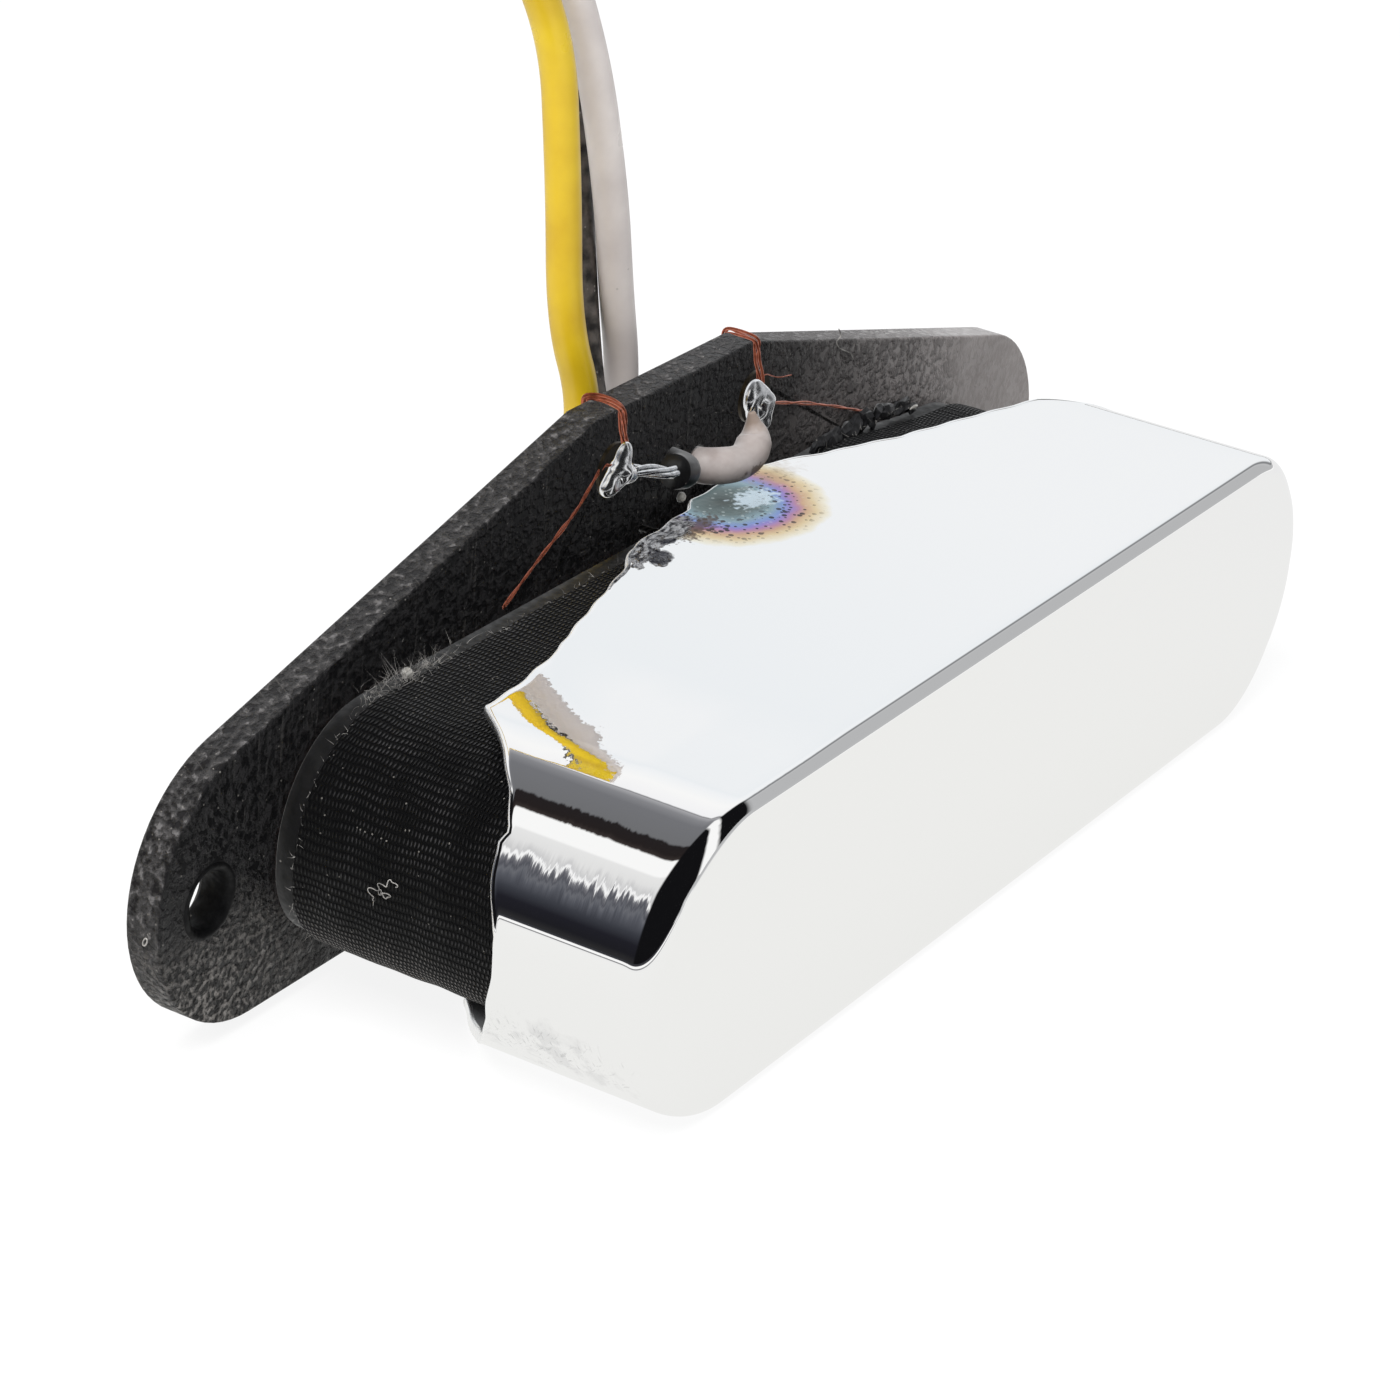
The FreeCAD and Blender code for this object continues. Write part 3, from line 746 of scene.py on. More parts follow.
@dataclass(frozen=True)
class Metal:
    """Bare metal: a bright and a duller colour in clouds, which break the gloss and the surface too."""

    name: str
    slot: str
    bright: Colour
    dull: Colour
    rough: float
    grain: float

    def build(self) -> Finish:
        """Makes the material."""
        finish = Finish(self.name, self.slot, Metallic=1.0)
        cloud = finish.book.mottle(finish.place, self.grain, self.bright, self.dull, 0.5, 0.8)
        finish.colour = cloud["Colour"]
        rough = finish.book.span(cloud["Mask"], self.rough, self.rough + 0.2)
        return finish.close(rough, cloud["Mask"], 0.01)


@dataclass(frozen=True)
class SmudgedStub:
    """The white lead's end in front of the plate: insulation browned and smudged by the iron, darkened by
    painted shade.
    """

    # Darker than the white lead's colours: partly browning by the iron, partly painted shade.
    first: Colour = srgb(167, 159, 156)
    second: Colour = srgb(143, 133, 129)
    smudge: Spot = Spot((4.7, -4.1, 8.6), (1.3, 0.9, 0.3), 1.5, 0.42, 0.35)
    burn: Spot = Spot((6.1, -2.7, 10.8), (1.2, 1.2, 1.1), 0.6, 0.6, 0.6)

    def build(self) -> Finish:
        """Makes the material."""
        finish = Finish("smudged white insulation", "white_insulation", Specular_IOR_Level=0.5)
        book, place = finish.book, finish.place
        cloud = book.mottle(place, 1.6, self.first, self.second)
        finish.colour = cloud["Colour"]
        finish.paint(self.smudge.on(book, place), srgb(66, 52, 46), 0.75)
        finish.paint(self.burn.on(book, place), srgb(120, 98, 78), 0.6)
        return finish.close(book.span(cloud["Mask"], 0.3, 0.46), cloud["Mask"], 0.03)


@dataclass(frozen=True)
class BlackFibre:
    """Black vulcanised fibre: close leathery grain, a rough cut edge, painted light on worn ears, dust and
    scratches.
    """

    skin: Colour = srgb(17, 17, 18)
    skin_grain: Colour = srgb(39, 38, 39)
    edge: Colour = srgb(22, 21, 22)
    edge_grain: Colour = srgb(92, 90, 90)
    lit_low_ear: Spot = Spot((-36.5, -1.9, -5.4), (9.5, 6.0, 5.6), 0.3, 1.6, 0.85)
    lit_right_ear: Spot = Spot((35.0, -1.9, 6.0), (30.0, 9.0, 15.0), 0.2, 3.0, 0.75)
    rubbed_and_lit: Spot = Spot((38.0, -1.9, 6.0), (17.0, 9.0, 14.0), 0.1, 3.0, 0.6)

    def build(self) -> Finish:
        """Makes the material."""
        finish = Finish("black fibre", "black_fibre", Specular_IOR_Level=0.24)
        book, place = finish.book, finish.place
        grain = book.mottle(place, 0.4, self.skin, self.skin_grain, 0.42, 0.62)
        facing = book.parts(book.add("NewGeometry")["Normal"])
        edge = book.fall(book.math("ABSOLUTE", facing[1]), 0.35, 0.8)
        layers = book.mottle(place, 0.4, self.edge, self.edge_grain, 0.4, 0.68)
        finish.colour = grain["Colour"]
        finish.paint(edge, layers["Colour"])
        # Painted highlight: the lower left ear's grain is painted in pale pebbles over its real leathery
        # bump.
        lit_low_ear = self.lit_low_ear.on(book, place)
        lit_pebbles = book.mottle(place, 0.3, srgb(24, 23, 22), srgb(124, 120, 116), 0.44, 0.56)
        finish.paint(lit_low_ear, lit_pebbles["Colour"], 0.85)
        # Painted light: the right ear is painted pale as the lit side, with darker cracks in the grain; the
        # rubbed patch is also smoother.
        lit_ear = self.lit_right_ear.on(book, place)
        lit_cracked = book.times(lit_ear, book.remap(grain["Mask"], 0.3, 0.9, 1.0, 0.62))
        rubbed_and_lit = self.rubbed_and_lit.on(book, place)
        lit_streaks = book.mottle(place, 2.4, srgb(126, 120, 118), srgb(140, 134, 132), 0.3, 0.7)
        finish.paint(book.most(lit_cracked, rubbed_and_lit), lit_streaks["Colour"])
        # Painted highlight: the right ear's cut edges are painted paler still.
        finish.paint(book.times(lit_ear, book.times(edge, 0.6)), srgb(172, 170, 170))
        lines = book.times(book.scratches(place, 4.0, 0.1, 0.8), 0.4)
        finish.paint(book.most(book.speckle(place, 0.36, 0.13, 0.2), lines), DUST, 0.5)
        rough_ear = book.times(lit_pebbles["Mask"], book.times(lit_low_ear, 2.4))
        height = book.plus(grain["Mask"], book.times(layers["Mask"], edge), rough_ear)
        height = book.times(height, book.less(1.0, book.times(rubbed_and_lit, 0.85)))
        return finish.close(book.span(grain["Mask"], 0.36, 0.6), height, 0.2)


@dataclass(frozen=True)
class WovenTape:
    """Black woven tape: ribs and threads on the surface map, uneven, with painted glints, painted light below
    and grey lint.
    """

    valley: Colour = srgb(5, 5, 6)
    thread: Colour = srgb(62, 61, 62)
    lit_thread: Colour = srgb(128, 120, 115)

    def build(self) -> Finish:
        """Makes the material."""
        finish = Finish("woven tape", "cloth_tape", self.valley, Specular_IOR_Level=0.2)
        book, place = finish.book, finish.surface
        sway = book.vector("SCALE", book.noise(place, 0.5, 2.0)["Color"], 0.5)
        laid = book.vector("ADD", place, sway)
        height = book.effect("weave", laid, Row_pitch=0.44, Stitch_pitch=0.2)["Height"]
        uneven = book.mottle(finish.place, 2.2, (0.25, 0.25, 0.25), WHITE)["Mask"]
        # Painted light: faces that look down are painted lighter, as if lit by the pale floor below.
        below = book.fall(book.parts(book.add("NewGeometry")["Normal"])[2], -0.75, -0.2)
        # Stitch tops take the thread colour in uneven patches: the threads' own tone and painted glints.
        patchy = book.most(book.remap(uneven, 0.25, 1.0, 0.06, 0.8), below)
        thread = book.blend(below, self.thread, self.lit_thread)
        finish.paint(book.times(book.remap(height, 0.5, 0.96), patchy), thread)
        finish.paint(book.speckle(finish.place, 0.34, 0.13, 0.1), DUST, 0.45)
        return finish.close(book.remap(height, 0.2, 0.9, 0.8, 0.36), height, 0.2)


@dataclass(frozen=True)
class ChromedCover:
    """Mirror chrome with scuffs, a scraped torn strip, ragged mirroring and the rings of soldering heat.

    The spots brown, torn and the dark dents, painted shade, lie on X and the distance from the cut edge. Each
    pinch is a spot, with the grain of its raggedness in millimetres and its amount.
    """

    chrome: Colour = (0.93, 0.93, 0.925)
    draft: float = 0.09
    heat: Spot = Spot((1.9, -4.1, 7.75), (5.9, 5.2, 3.0), 0.09, 1.6, 0.1)
    painted_glint: Spot = Spot((3.3, -5.0, 7.75), (1.7, 1.1, 1.0), 1.1, 0.35, 0.4)
    smudge: Spot = Spot((6.6, -4.0, 7.75), (2.6, 1.3, 1.0), 0.7, 0.5, 0.8)
    worn: Spot = Spot((-32.4, -17.0, -4.0), (2.2, 4.8, 2.0), 0.7, 0.9, 0.5)
    brown: Spot = Spot((-1.9, 1.5, 0.0), (2.0, 0.85, 1.0), 1.2, 0.3, 0.4)
    torn: tuple[Spot, ...] = (
        Spot((-5.4, 0.5, 0.0), (2.8, 0.95, 1.0), 0.5, 0.6, 0.1),
        Spot((-9.0, 0.1, 0.0), (2.4, 0.24, 1.0), 0.3, 0.6, 0.2),
        Spot((-2.9, 0.6, 0.0), (2.0, 0.9, 1.0), 0.7, 0.5, 0.3),
        Spot((-6.4, 1.75, 0.0), (0.95, 0.6, 1.0), 0.4, 0.6, 0.1),
    )
    shaded_dents: tuple[Spot, ...] = (
        Spot((-6.35, 1.7, 0.0), (1.0, 0.7, 1.0), 0.4, 0.4, 0.3),
        Spot((-4.3, 1.2, 0.0), (0.4, 0.34, 1.0), 0.5, 0.3, 0.2),
    )
    pinches: tuple[tuple[Spot, float, float], ...] = (
        (Spot((-31.95, -18.0, 4.5), (1.3, 5.5, 1.3), 0.1, 2.0, 0.6), 0.5, 0.5),
        (Spot((-29.9, -17.0, 6.55), (1.2, 6.0, 0.7), 0.1, 2.0, 0.7), 0.4, 0.09),
    )

    def build(self) -> Finish:
        """Makes the material."""
        finish = Finish("chromed cover", "cover_metal", Metallic=1.0)
        book, place = finish.book, finish.place
        from_edge = book.parts(finish.surface)[1]
        by_edge = book.join(book.parts(place)[0], from_edge, 0.0)
        near = self.lay_heat(finish, by_edge)
        torn = book.most(*(spot.on(book, by_edge) for spot in self.torn))
        drawn = book.vector("MULTIPLY", by_edge, (0.55, 1.5, 1.0))
        layers = book.mottle(drawn, 0.34, srgb(40, 40, 46), srgb(176, 176, 178), 0.42, 0.56)
        finish.paint(torn, layers["Colour"])
        # Painted shade: two dents in the torn strip are painted dark navy.
        hollow = book.most(*(spot.on(book, by_edge) for spot in self.shaded_dents))
        finish.paint(hollow, srgb(20, 22, 36), 0.9)
        worn = self.worn.on(book, place)
        finish.paint(worn, book.mottle(place, 1.4, self.chrome, srgb(234, 234, 234), 0.5, 0.56)["Colour"])
        finish.paint(book.times(worn, book.scratches(place, 0.7, 0.12, 1.0)), srgb(160, 161, 162), 0.8)
        # Painted highlight: the lip along the cut edge is painted white.
        lip = book.fall(book.math("ABSOLUTE", from_edge), 0.00012, 0.0002)
        finish.paint(lip, WHITE)
        # Painted shade: the cover's inner side, away from the cut edge, is painted dark grey.
        inside = book.fall(from_edge, -0.0003, -0.00014)
        finish.paint(inside, srgb(44, 44, 46))
        hazes = (
            (book.scratches(place, 6.0, 0.05, 0.4), 0.06),
            (near, 0.1),
            (torn, 0.25),
            (book.most(lip, inside), 0.3),
            (worn, 0.12),
        )
        first, *others = [book.times(mask, amount) for mask, amount in hazes]
        haze = book.plus(first, 0.02, *others)
        rough = book.times(book.noise(place, 1600.0, 4.0)[0], book.plus(torn, book.times(near, 0.12)))
        height = book.plus(rough, book.times(book.noise(place, 700.0, 2.0)[0], worn, 0.25))
        return finish.close(haze, height, 0.3, Normal=self.ragged_mirror(finish))

    def lay_heat(self, finish: Finish, by_edge: Socket) -> Socket:
        """Lays the rings of soldering heat outwards from the joint, with painted glints, soot and a rusty
        smudge.

        Args:
            finish: the cover's finish
            by_edge: X and the distance from the cut edge

        Returns:
            How near the joint a place is, 1 to 0.
        """
        book, place = finish.book, finish.place
        tint = self.heat.on(book, place, "Distance")
        near = book.fall(tint, 0.45, 1.05)
        rings = (
            (0.0, 62, 72, 70), (0.3, 98, 114, 114), (0.44, 140, 166, 176), (0.53, 128, 152, 206),
            (0.6, 150, 130, 198), (0.67, 184, 134, 162), (0.74, 206, 168, 136), (0.83, 226, 204, 162),
            (0.94, 243, 236, 216),
        )
        stops = [(far, srgb(*colour)) for far, *colour in rings]
        finish.colour = book.ramp(tint, [*stops, (1.04, self.chrome)])
        # Painted glints: a pale blue-white spot and small white specks near the joint.
        finish.paint(self.painted_glint.on(book, place), srgb(214, 230, 240), 0.8)
        finish.paint(book.times(book.speckle(place, 0.3, 0.3, 0.3), near), srgb(230, 238, 236), 0.25)
        ring = book.times(book.remap(tint, 0.3, 0.45), book.fall(tint, 0.72, 0.95))
        soot = book.most(book.speckle(place, 0.4, 0.36, 0.5), book.speckle(place, 0.27, 0.34, 0.3))
        finish.paint(book.times(soot, ring), srgb(22, 18, 30), 0.9)
        finish.paint(self.brown.on(book, by_edge), srgb(72, 50, 36), 0.85)
        blades = book.span(book.scratches(place, 1.4, 0.09, 1.6), 0.35, 0.9)
        finish.paint(book.times(self.smudge.on(book, place), blades), srgb(176, 152, 118))
        return near

    def mirror_lean(self, finish: Finish, tilt: Socket) -> Socket:
        """How far the skin leans towards the face: a fixed draft, and a hammered curve near the corner.

        By the snipped corner the lean follows the place, so that the leads' mirror images keep their width
        and bend.

        Args:
            finish: the cover's finish
            tilt: the skin's X share of its normal

        Returns:
            The lean.
        """
        book = finish.book
        place = book.vector("SCALE", finish.place, 1000.0)
        x, y, _ = book.parts(place)
        side = book.vector("DOT_PRODUCT", place, (0.82, -0.57, 0.0))
        slope = book.vector("DOT_PRODUCT", place, (-0.02, 0.035, 0.0))
        steps = ((0.04, 0.06), (0.16, 0.1), (0.425, 0.19), (0.5625, 0.208), (0.825, 0.255), (0.95, 0.29))
        step = book.curve(book.over(book.plus(side, 16.016), 4.0), steps)
        tracked = book.plus(book.less(slope, 0.1005), step)
        low = book.curve(book.over(book.plus(y, 20.0), 12.0), ((0.21, 0.22), (0.3, 0.155), (0.517, 0.165)))
        bent = book.blend(book.remap(y, -13.8, -12.6), low, tracked)
        fringe = book.times(book.less(book.noise(place, 3.5, 4.0, 0.65)[0], 0.5), 0.05)
        bent = book.plus(book.less(bent, 0.2), fringe)
        near_tip = book.times(book.remap(tilt, -0.31, -0.285), book.fall(x, -21.0, -17.0))
        return book.plus(book.times(book.less(bent, self.draft), near_tip), self.draft)

    def ragged_mirror(self, finish: Finish) -> Socket:
        """Normal of the deep-drawn skin: leaning walls, and pinched places that mirror raggedly.

        In each pinched place the normal turns round the end by a noise that runs along Y.

        Args:
            finish: the cover's finish

        Returns:
            The normal.
        """
        book, place = finish.book, finish.place
        normal = book.add("NewGeometry")["Normal"]
        x, _, z = book.parts(normal)
        turns = []
        for spot, grain, amount in self.pinches:
            along = book.vector("MULTIPLY", place, (120.0, 1000.0 / grain, 120.0))
            wave = book.less(book.noise(along, 1.0, 6.0, 0.74)[0], 0.5)
            turns.append(book.times(wave, spot.on(book, place), amount))
        turned = book.vector("SCALE", book.join(z, 0.0, book.times(x, -1.0)), book.plus(*turns))
        lean = book.join(0.0, book.times(self.mirror_lean(finish, x), -1.0), 0.0)
        both = book.vector("ADD", book.vector("ADD", normal, lean), turned)
        return book.vector("NORMALIZE", both)


class Look(Enum):
    """Every finish of the pickup."""

    COVER = ChromedCover()
    FIBRE = BlackFibre()
    CLOTH = WovenTape()
    STUB = SmudgedStub()
    SMOOTH_TAPE = Plastic(
        "smooth tape", "smooth_tape", srgb(17, 17, 18), srgb(10, 10, 11), 0.45, 0.5, 0.4, 0.25
    )
    CRUMPLED = Plastic("crumpled tape", "smooth_tape", srgb(36, 36, 38), srgb(12, 12, 13), 0.35, 0.35, 2.0)
    # Painted shade: the fibre inside the screw holes is painted darker than the plate's fibre.
    SHADED_HOLE_FIBRE = Plastic("torn fibre in painted shade", "black_fibre", srgb(16, 16, 17), srgb(7, 7, 8), 0.5, 0.3, 0.3, 0.16)
    WAX = Plastic("potting wax", "potting_wax", srgb(196, 170, 104), srgb(160, 132, 74), 0.4, 3.0, 0.1)
    TIE = Plastic("tie band", "tie_band", srgb(30, 30, 32), srgb(18, 18, 20), 0.35, 1.5, 0.3)
    YELLOW = Plastic(
        "yellow insulation", "yellow_insulation", srgb(208, 177, 30), srgb(190, 155, 19), 0.27, 5.0, 0.05
    )
    WHITE = Plastic(
        "white insulation", "white_insulation", srgb(204, 197, 193), srgb(186, 178, 175), 0.27, 4.0, 0.08
    )
    BLACK = Plastic(
        "black insulation", "black_insulation", srgb(92, 86, 82), srgb(30, 28, 28), 0.36, 0.7, 1.6, 0.4
    )
    BLACK_END = Plastic(
        "black insulation end", "black_insulation", srgb(17, 17, 18), srgb(9, 9, 10), 0.3, 1.0, 0.3
    )
    GLUE = Plastic("dried glue", "potting_wax", srgb(186, 184, 178), srgb(120, 117, 112), 0.2, 0.4, 0.2)
    LINT = Plastic("lint", "cloth_tape", srgb(158, 155, 151), srgb(96, 94, 92), 0.8, 0.5, 0.0, 0.2)
    COPPER = Metal("enamelled copper", "copper_wire", srgb(196, 110, 84), srgb(96, 40, 28), 0.28, 0.4)
    SOLDER = Metal("solder", "solder", srgb(240, 241, 243), srgb(190, 192, 196), 0.2, 0.7)
    BRASS = Metal("tinned brass", "eyelet_brass", srgb(62, 56, 46), srgb(28, 25, 22), 0.42, 0.5)
    MAGNET = Metal("magnet alloy", "magnet_metal", srgb(120, 122, 126), srgb(84, 84, 88), 0.45, 0.5)
    TINNED = Metal("tinned wire", "tinned_wire", srgb(226, 228, 231), srgb(150, 152, 156), 0.16, 0.4)
    # Painted shade: the ground wire under the cover's tongue is tinned wire painted near black.
    SHADED_TINNED_WIRE = Metal("tinned wire in painted shade", "tinned_wire", srgb(32, 31, 31), srgb(16, 16, 17), 0.45, 0.4)


class Wardrobe:
    """Every finish, made once, and the way to put it on."""

    def __init__(self) -> None:
        """Makes the effects and then the materials."""
        Effects()
        self.made = {look: look.value.build() for look in Look}

    def dress(self, look: Look, piece: Piece, *nodes: str, mirrored: bool = True) -> Piece:
        """Puts a finish on a piece, which may replace CAD nodes and be left out of the chrome's mirroring."""
        return self.made[look].dress(piece, *nodes, mirrored=mirrored)

    def dress_nodes(self, look: Look, *names: str) -> None:
        """Puts a finish on CAD nodes that keep their shape."""
        for name in names:
            self.dress(look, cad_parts[name])


@dataclass
class Studio:
    """Camera at the photograph's angle, a pale floor, soft light and the room that the metal mirrors."""

    azimuth: float = -60.49161263591853
    elevation: float = 25.29552770716215
    roll: float = 5.420338442570608
    distance: float = 217.25027745083807
    target: Point = (-5.682110321182029, -8.0, 0.6606124157910556)
    focal_pixels: float = 4414.208
    picture_pixels: float = 1400.0
    sensor: float = 36.0
    floor_half: float = 900.0
    lamp_place: Point = (-200.0, -20.0, 300.0)
    lamp_size: float = 220.0
    lamp_power: float = 1.6

    def stand(self, made: Piece, axes: tuple[np.ndarray, ...], place: np.ndarray) -> None:
        """Turns a camera or lamp to its three axes and puts it at a place in millimetres."""
        made.matrix_world = Matrix(np.vstack([np.column_stack([*axes, place * MM]), (0.0, 0.0, 0.0, 1.0)]))

    def place_camera(self) -> None:
        """Camera that looks at the target from an azimuth and elevation, rolled about its own axis."""
        angles = (self.azimuth, self.elevation, self.roll)
        azimuth, elevation, roll = (math.radians(angle) for angle in angles)
        level = math.cos(elevation)
        back = np.array([math.sin(azimuth) * level, -math.cos(azimuth) * level, math.sin(elevation)])
        side = np.cross(-back, (0.0, 0.0, 1.0))
        side /= np.linalg.norm(side)
        above = np.cross(side, -back)
        right = side * math.cos(roll) + above * math.sin(roll)
        top = -side * math.sin(roll) + above * math.cos(roll)
        data = bpy.data.cameras.new("photo_camera")
        data.sensor_width = self.sensor
        data.lens = self.sensor * self.focal_pixels / self.picture_pixels
        data.clip_start = 0.01
        data.clip_end = 10.0
        camera = add_object("photo_camera", data)
        self.stand(camera, (right, top, back), np.array(self.target) + back * self.distance)
        bpy.context.scene.camera = camera

    def mirrored_floor(self, book: Tree, place: Socket) -> Socket:
        """What mirrors see of the floor: pale, then a thin grey and a thin white line before the room's dark.

        Args:
            book: the floor's tree
            place: object coordinates in metres

        Returns:
            The colour.
        """
        away = book.vector("LENGTH", place)
        rings = (
            (0.0, 0.88, 0.88, 0.865), (0.12, 0.89, 0.89, 0.88), (0.15, 0.86, 0.86, 0.86),
            (0.155, 0.2, 0.2, 0.21), (0.175, 0.16, 0.16, 0.17), (0.18, *WHITE), (0.27, *WHITE),
            (0.29, 0.01, 0.01, 0.016),
        )
        mirrored = book.ramp(away, [(far, tuple(colour)) for far, *colour in rings])
        x, y, _ = book.parts(place)
        mirrored = book.blend(book.remap(x, 0.02, 0.1), mirrored, (0.86, 0.86, 0.865))
        ahead = book.remap(x, 0.005, 0.02)
        line = book.times(ahead, book.fall(y, -0.052, -0.049))
        mirrored = book.blend(line, mirrored, (1.02, 1.02, 1.02))
        strip = book.times(ahead, book.fall(y, -0.057, -0.056))
        return book.blend(strip, mirrored, (0.48, 0.485, 0.495))

    def lay_floor(self) -> None:
        """Pale floor, white to the camera and to mirrors, that keeps a soft contact shadow."""
        half, level = self.floor_half, FLOOR_Z - 0.02
        square = np.array([[-1, -1], [1, -1], [1, 1], [-1, 1]]) * half
        corners = np.column_stack([square, np.full(4, level)])
        mesh = bpy.data.meshes.new("floor")
        mesh.from_pydata((corners * MM).tolist(), [], [[0, 1, 2, 3]])
        add_object("floor", mesh)
        material = bpy.data.materials.new("pale floor")
        material.use_nodes = True
        material.node_tree.nodes.clear()
        book = Tree(material.node_tree)
        ray = book.add("LightPath")
        mirrored = self.mirrored_floor(book, book.add("TexCoord")["Object"])
        colour = book.blend(ray["Is Glossy Ray"], (1.02, 1.02, 1.02), mirrored)
        matt = book.add("BsdfDiffuse", {"Color": (0.9, 0.9, 0.9)})[0]
        white = book.add("Emission", {"Color": colour, "Strength": 1.0})[0]
        shown = book.times(book.most(ray["Is Camera Ray"], ray["Is Transmission Ray"]), 0.86)
        share = book.most(shown, book.times(ray["Is Glossy Ray"], 0.97))
        mixed = book.add("MixShader", {0: share, 1: matt, 2: white})[0]
        book.add("OutputMaterial", {0: mixed}, is_active_output=True)
        mesh.materials.append(material)

    def room_bands(self, book: Tree, heading: Socket) -> Socket:
        """What mirrors see of the room: bands above the floor at the back, and a grey and black camera side.

        At the back the colour follows the tilt round the Y axis. At the front it follows X, with one lamp.

        Args:
            book: the world's tree
            heading: direction of the ray

        Returns:
            The colour.
        """
        x, y, z = book.parts(heading)
        tilt = book.times(book.math("ARCTAN2", z, book.times(x, -1.0)), 180.0 / math.pi)
        # Degrees above the floor, and the linear colour there
        rows = (
            (0.0, 0.026, 0.026, 0.028), (4.0, 0.013, 0.013, 0.017), (11.0, 0.015, 0.015, 0.021),
            (18.0, 0.045, 0.048, 0.06), (25.0, 0.1, 0.105, 0.125), (29.0, 0.15, 0.155, 0.175),
            (32.0, 0.085, 0.088, 0.105), (37.0, 0.19, 0.19, 0.21), (39.5, 1.0, 1.0, 1.0),
            (41.5, 0.95, 0.95, 0.96), (43.0, 0.62, 0.62, 0.63), (50.0, 0.8, 0.8, 0.8),
            (57.0, 0.84, 0.84, 0.84), (58.5, 1.0, 1.0, 1.0), (70.5, 1.0, 1.0, 1.0),
            (71.5, 0.04, 0.032, 0.03), (75.0, 0.02, 0.016, 0.016), (82.5, 0.019, 0.016, 0.017),
            (84.0, 0.165, 0.168, 0.178), (102.0, 0.18, 0.183, 0.198), (108.0, 0.25, 0.253, 0.27),
            (112.0, 0.42, 0.42, 0.44), (113.0, 0.16, 0.16, 0.17), (115.0, 0.95, 0.95, 0.97),
            (130.0, 1.0, 1.0, 1.0), (143.0, 0.93, 0.95, 0.975), (147.0, 0.885, 0.915, 0.945),
            (152.0, 0.93, 0.945, 0.965), (180.0, 0.9, 0.92, 0.94),
        )
        bands = book.ramp(book.over(tilt, 180.0), [(angle / 180.0, tuple(colour)) for angle, *colour in rows])
        steps = (
            (0.0, 0.22, 0.225, 0.235), (0.15, 0.23, 0.235, 0.245), (0.21, 0.54, 0.545, 0.555),
            (0.3, 0.49, 0.495, 0.505),
        )
        ledge = book.ramp(book.times(y, -1.0), [(far, tuple(colour)) for far, *colour in steps])
        front = book.blend(book.remap(x, 0.72, 0.78), (0.006, 0.006, 0.007), ledge)
        bend = ((0.34, 0.63), (0.48, 0.43), (0.635, 0.31), (0.79, 0.23), (0.91, 0.22), (0.97, 0.27))
        middle = book.curve(book.math("MULTIPLY_ADD", z, 0.5, 0.5), bend)
        lamp = book.fall(book.math("ABSOLUTE", book.less(x, middle)), 0.07, 0.12)
        front = book.blend(lamp, front, WHITE)
        return book.blend(book.remap(y, -0.1, 0.0), front, bands)

    def light_room(self) -> None:
        """World: white to the camera, plain light on the object, and the room's bands for mirrors."""
        world = bpy.data.worlds.new("studio")
        world.use_nodes = True
        bpy.context.scene.world = world
        world.node_tree.nodes.clear()
        book = Tree(world.node_tree)
        ray = book.add("LightPath")
        mirrored = self.room_bands(book, book.add("TexCoord")["Generated"])
        plain = book.add("Background", {0: (0.97, 0.985, 1.0), 1: 0.8})[0]
        room = book.add("Background", {0: mirrored, 1: 1.0})[0]
        white = book.add("Background", {0: WHITE, 1: 1.02})[0]
        lit = book.add("MixShader", {0: ray["Is Glossy Ray"], 1: plain, 2: room})[0]
        shown = book.most(ray["Is Camera Ray"], ray["Is Transmission Ray"])
        seen = book.add("MixShader", {0: shown, 1: lit, 2: white})[0]
        book.add("OutputWorld", {0: seen}, is_active_output=True)

    def hang_lamp(self) -> None:
        """Square soft lamp that faces the target, and that mirrors see only as the room's own bands."""
        data = bpy.data.lights.new("key_lamp", "AREA")
        data.shape = "SQUARE"
        data.size = self.lamp_size * MM
        data.energy = self.lamp_power
        lamp = add_object("key_lamp", data)
        lamp.visible_glossy = False
        back = np.array(self.lamp_place) - np.array(self.target)
        back /= np.linalg.norm(back)
        side = np.cross((0.0, 1.0, 0.01), back)
        side /= np.linalg.norm(side)
        self.stand(lamp, (side, np.cross(back, side), back), np.array(self.lamp_place))

    def build(self) -> None:
        """Sets the camera, floor, world and lamp, and the plain view transform."""
        self.place_camera()
        self.lay_floor()
        self.light_room()
        self.hang_lamp()
        bpy.context.scene.view_settings.view_transform = "Standard"
        log.info("studio set")


@dataclass(frozen=True)
class Lead:
    """One lead: its finish, its length with its loop, and listed points from the plate to the loop."""

    colour: str
    look: Look
    length: float
    route: tuple[Point, ...]


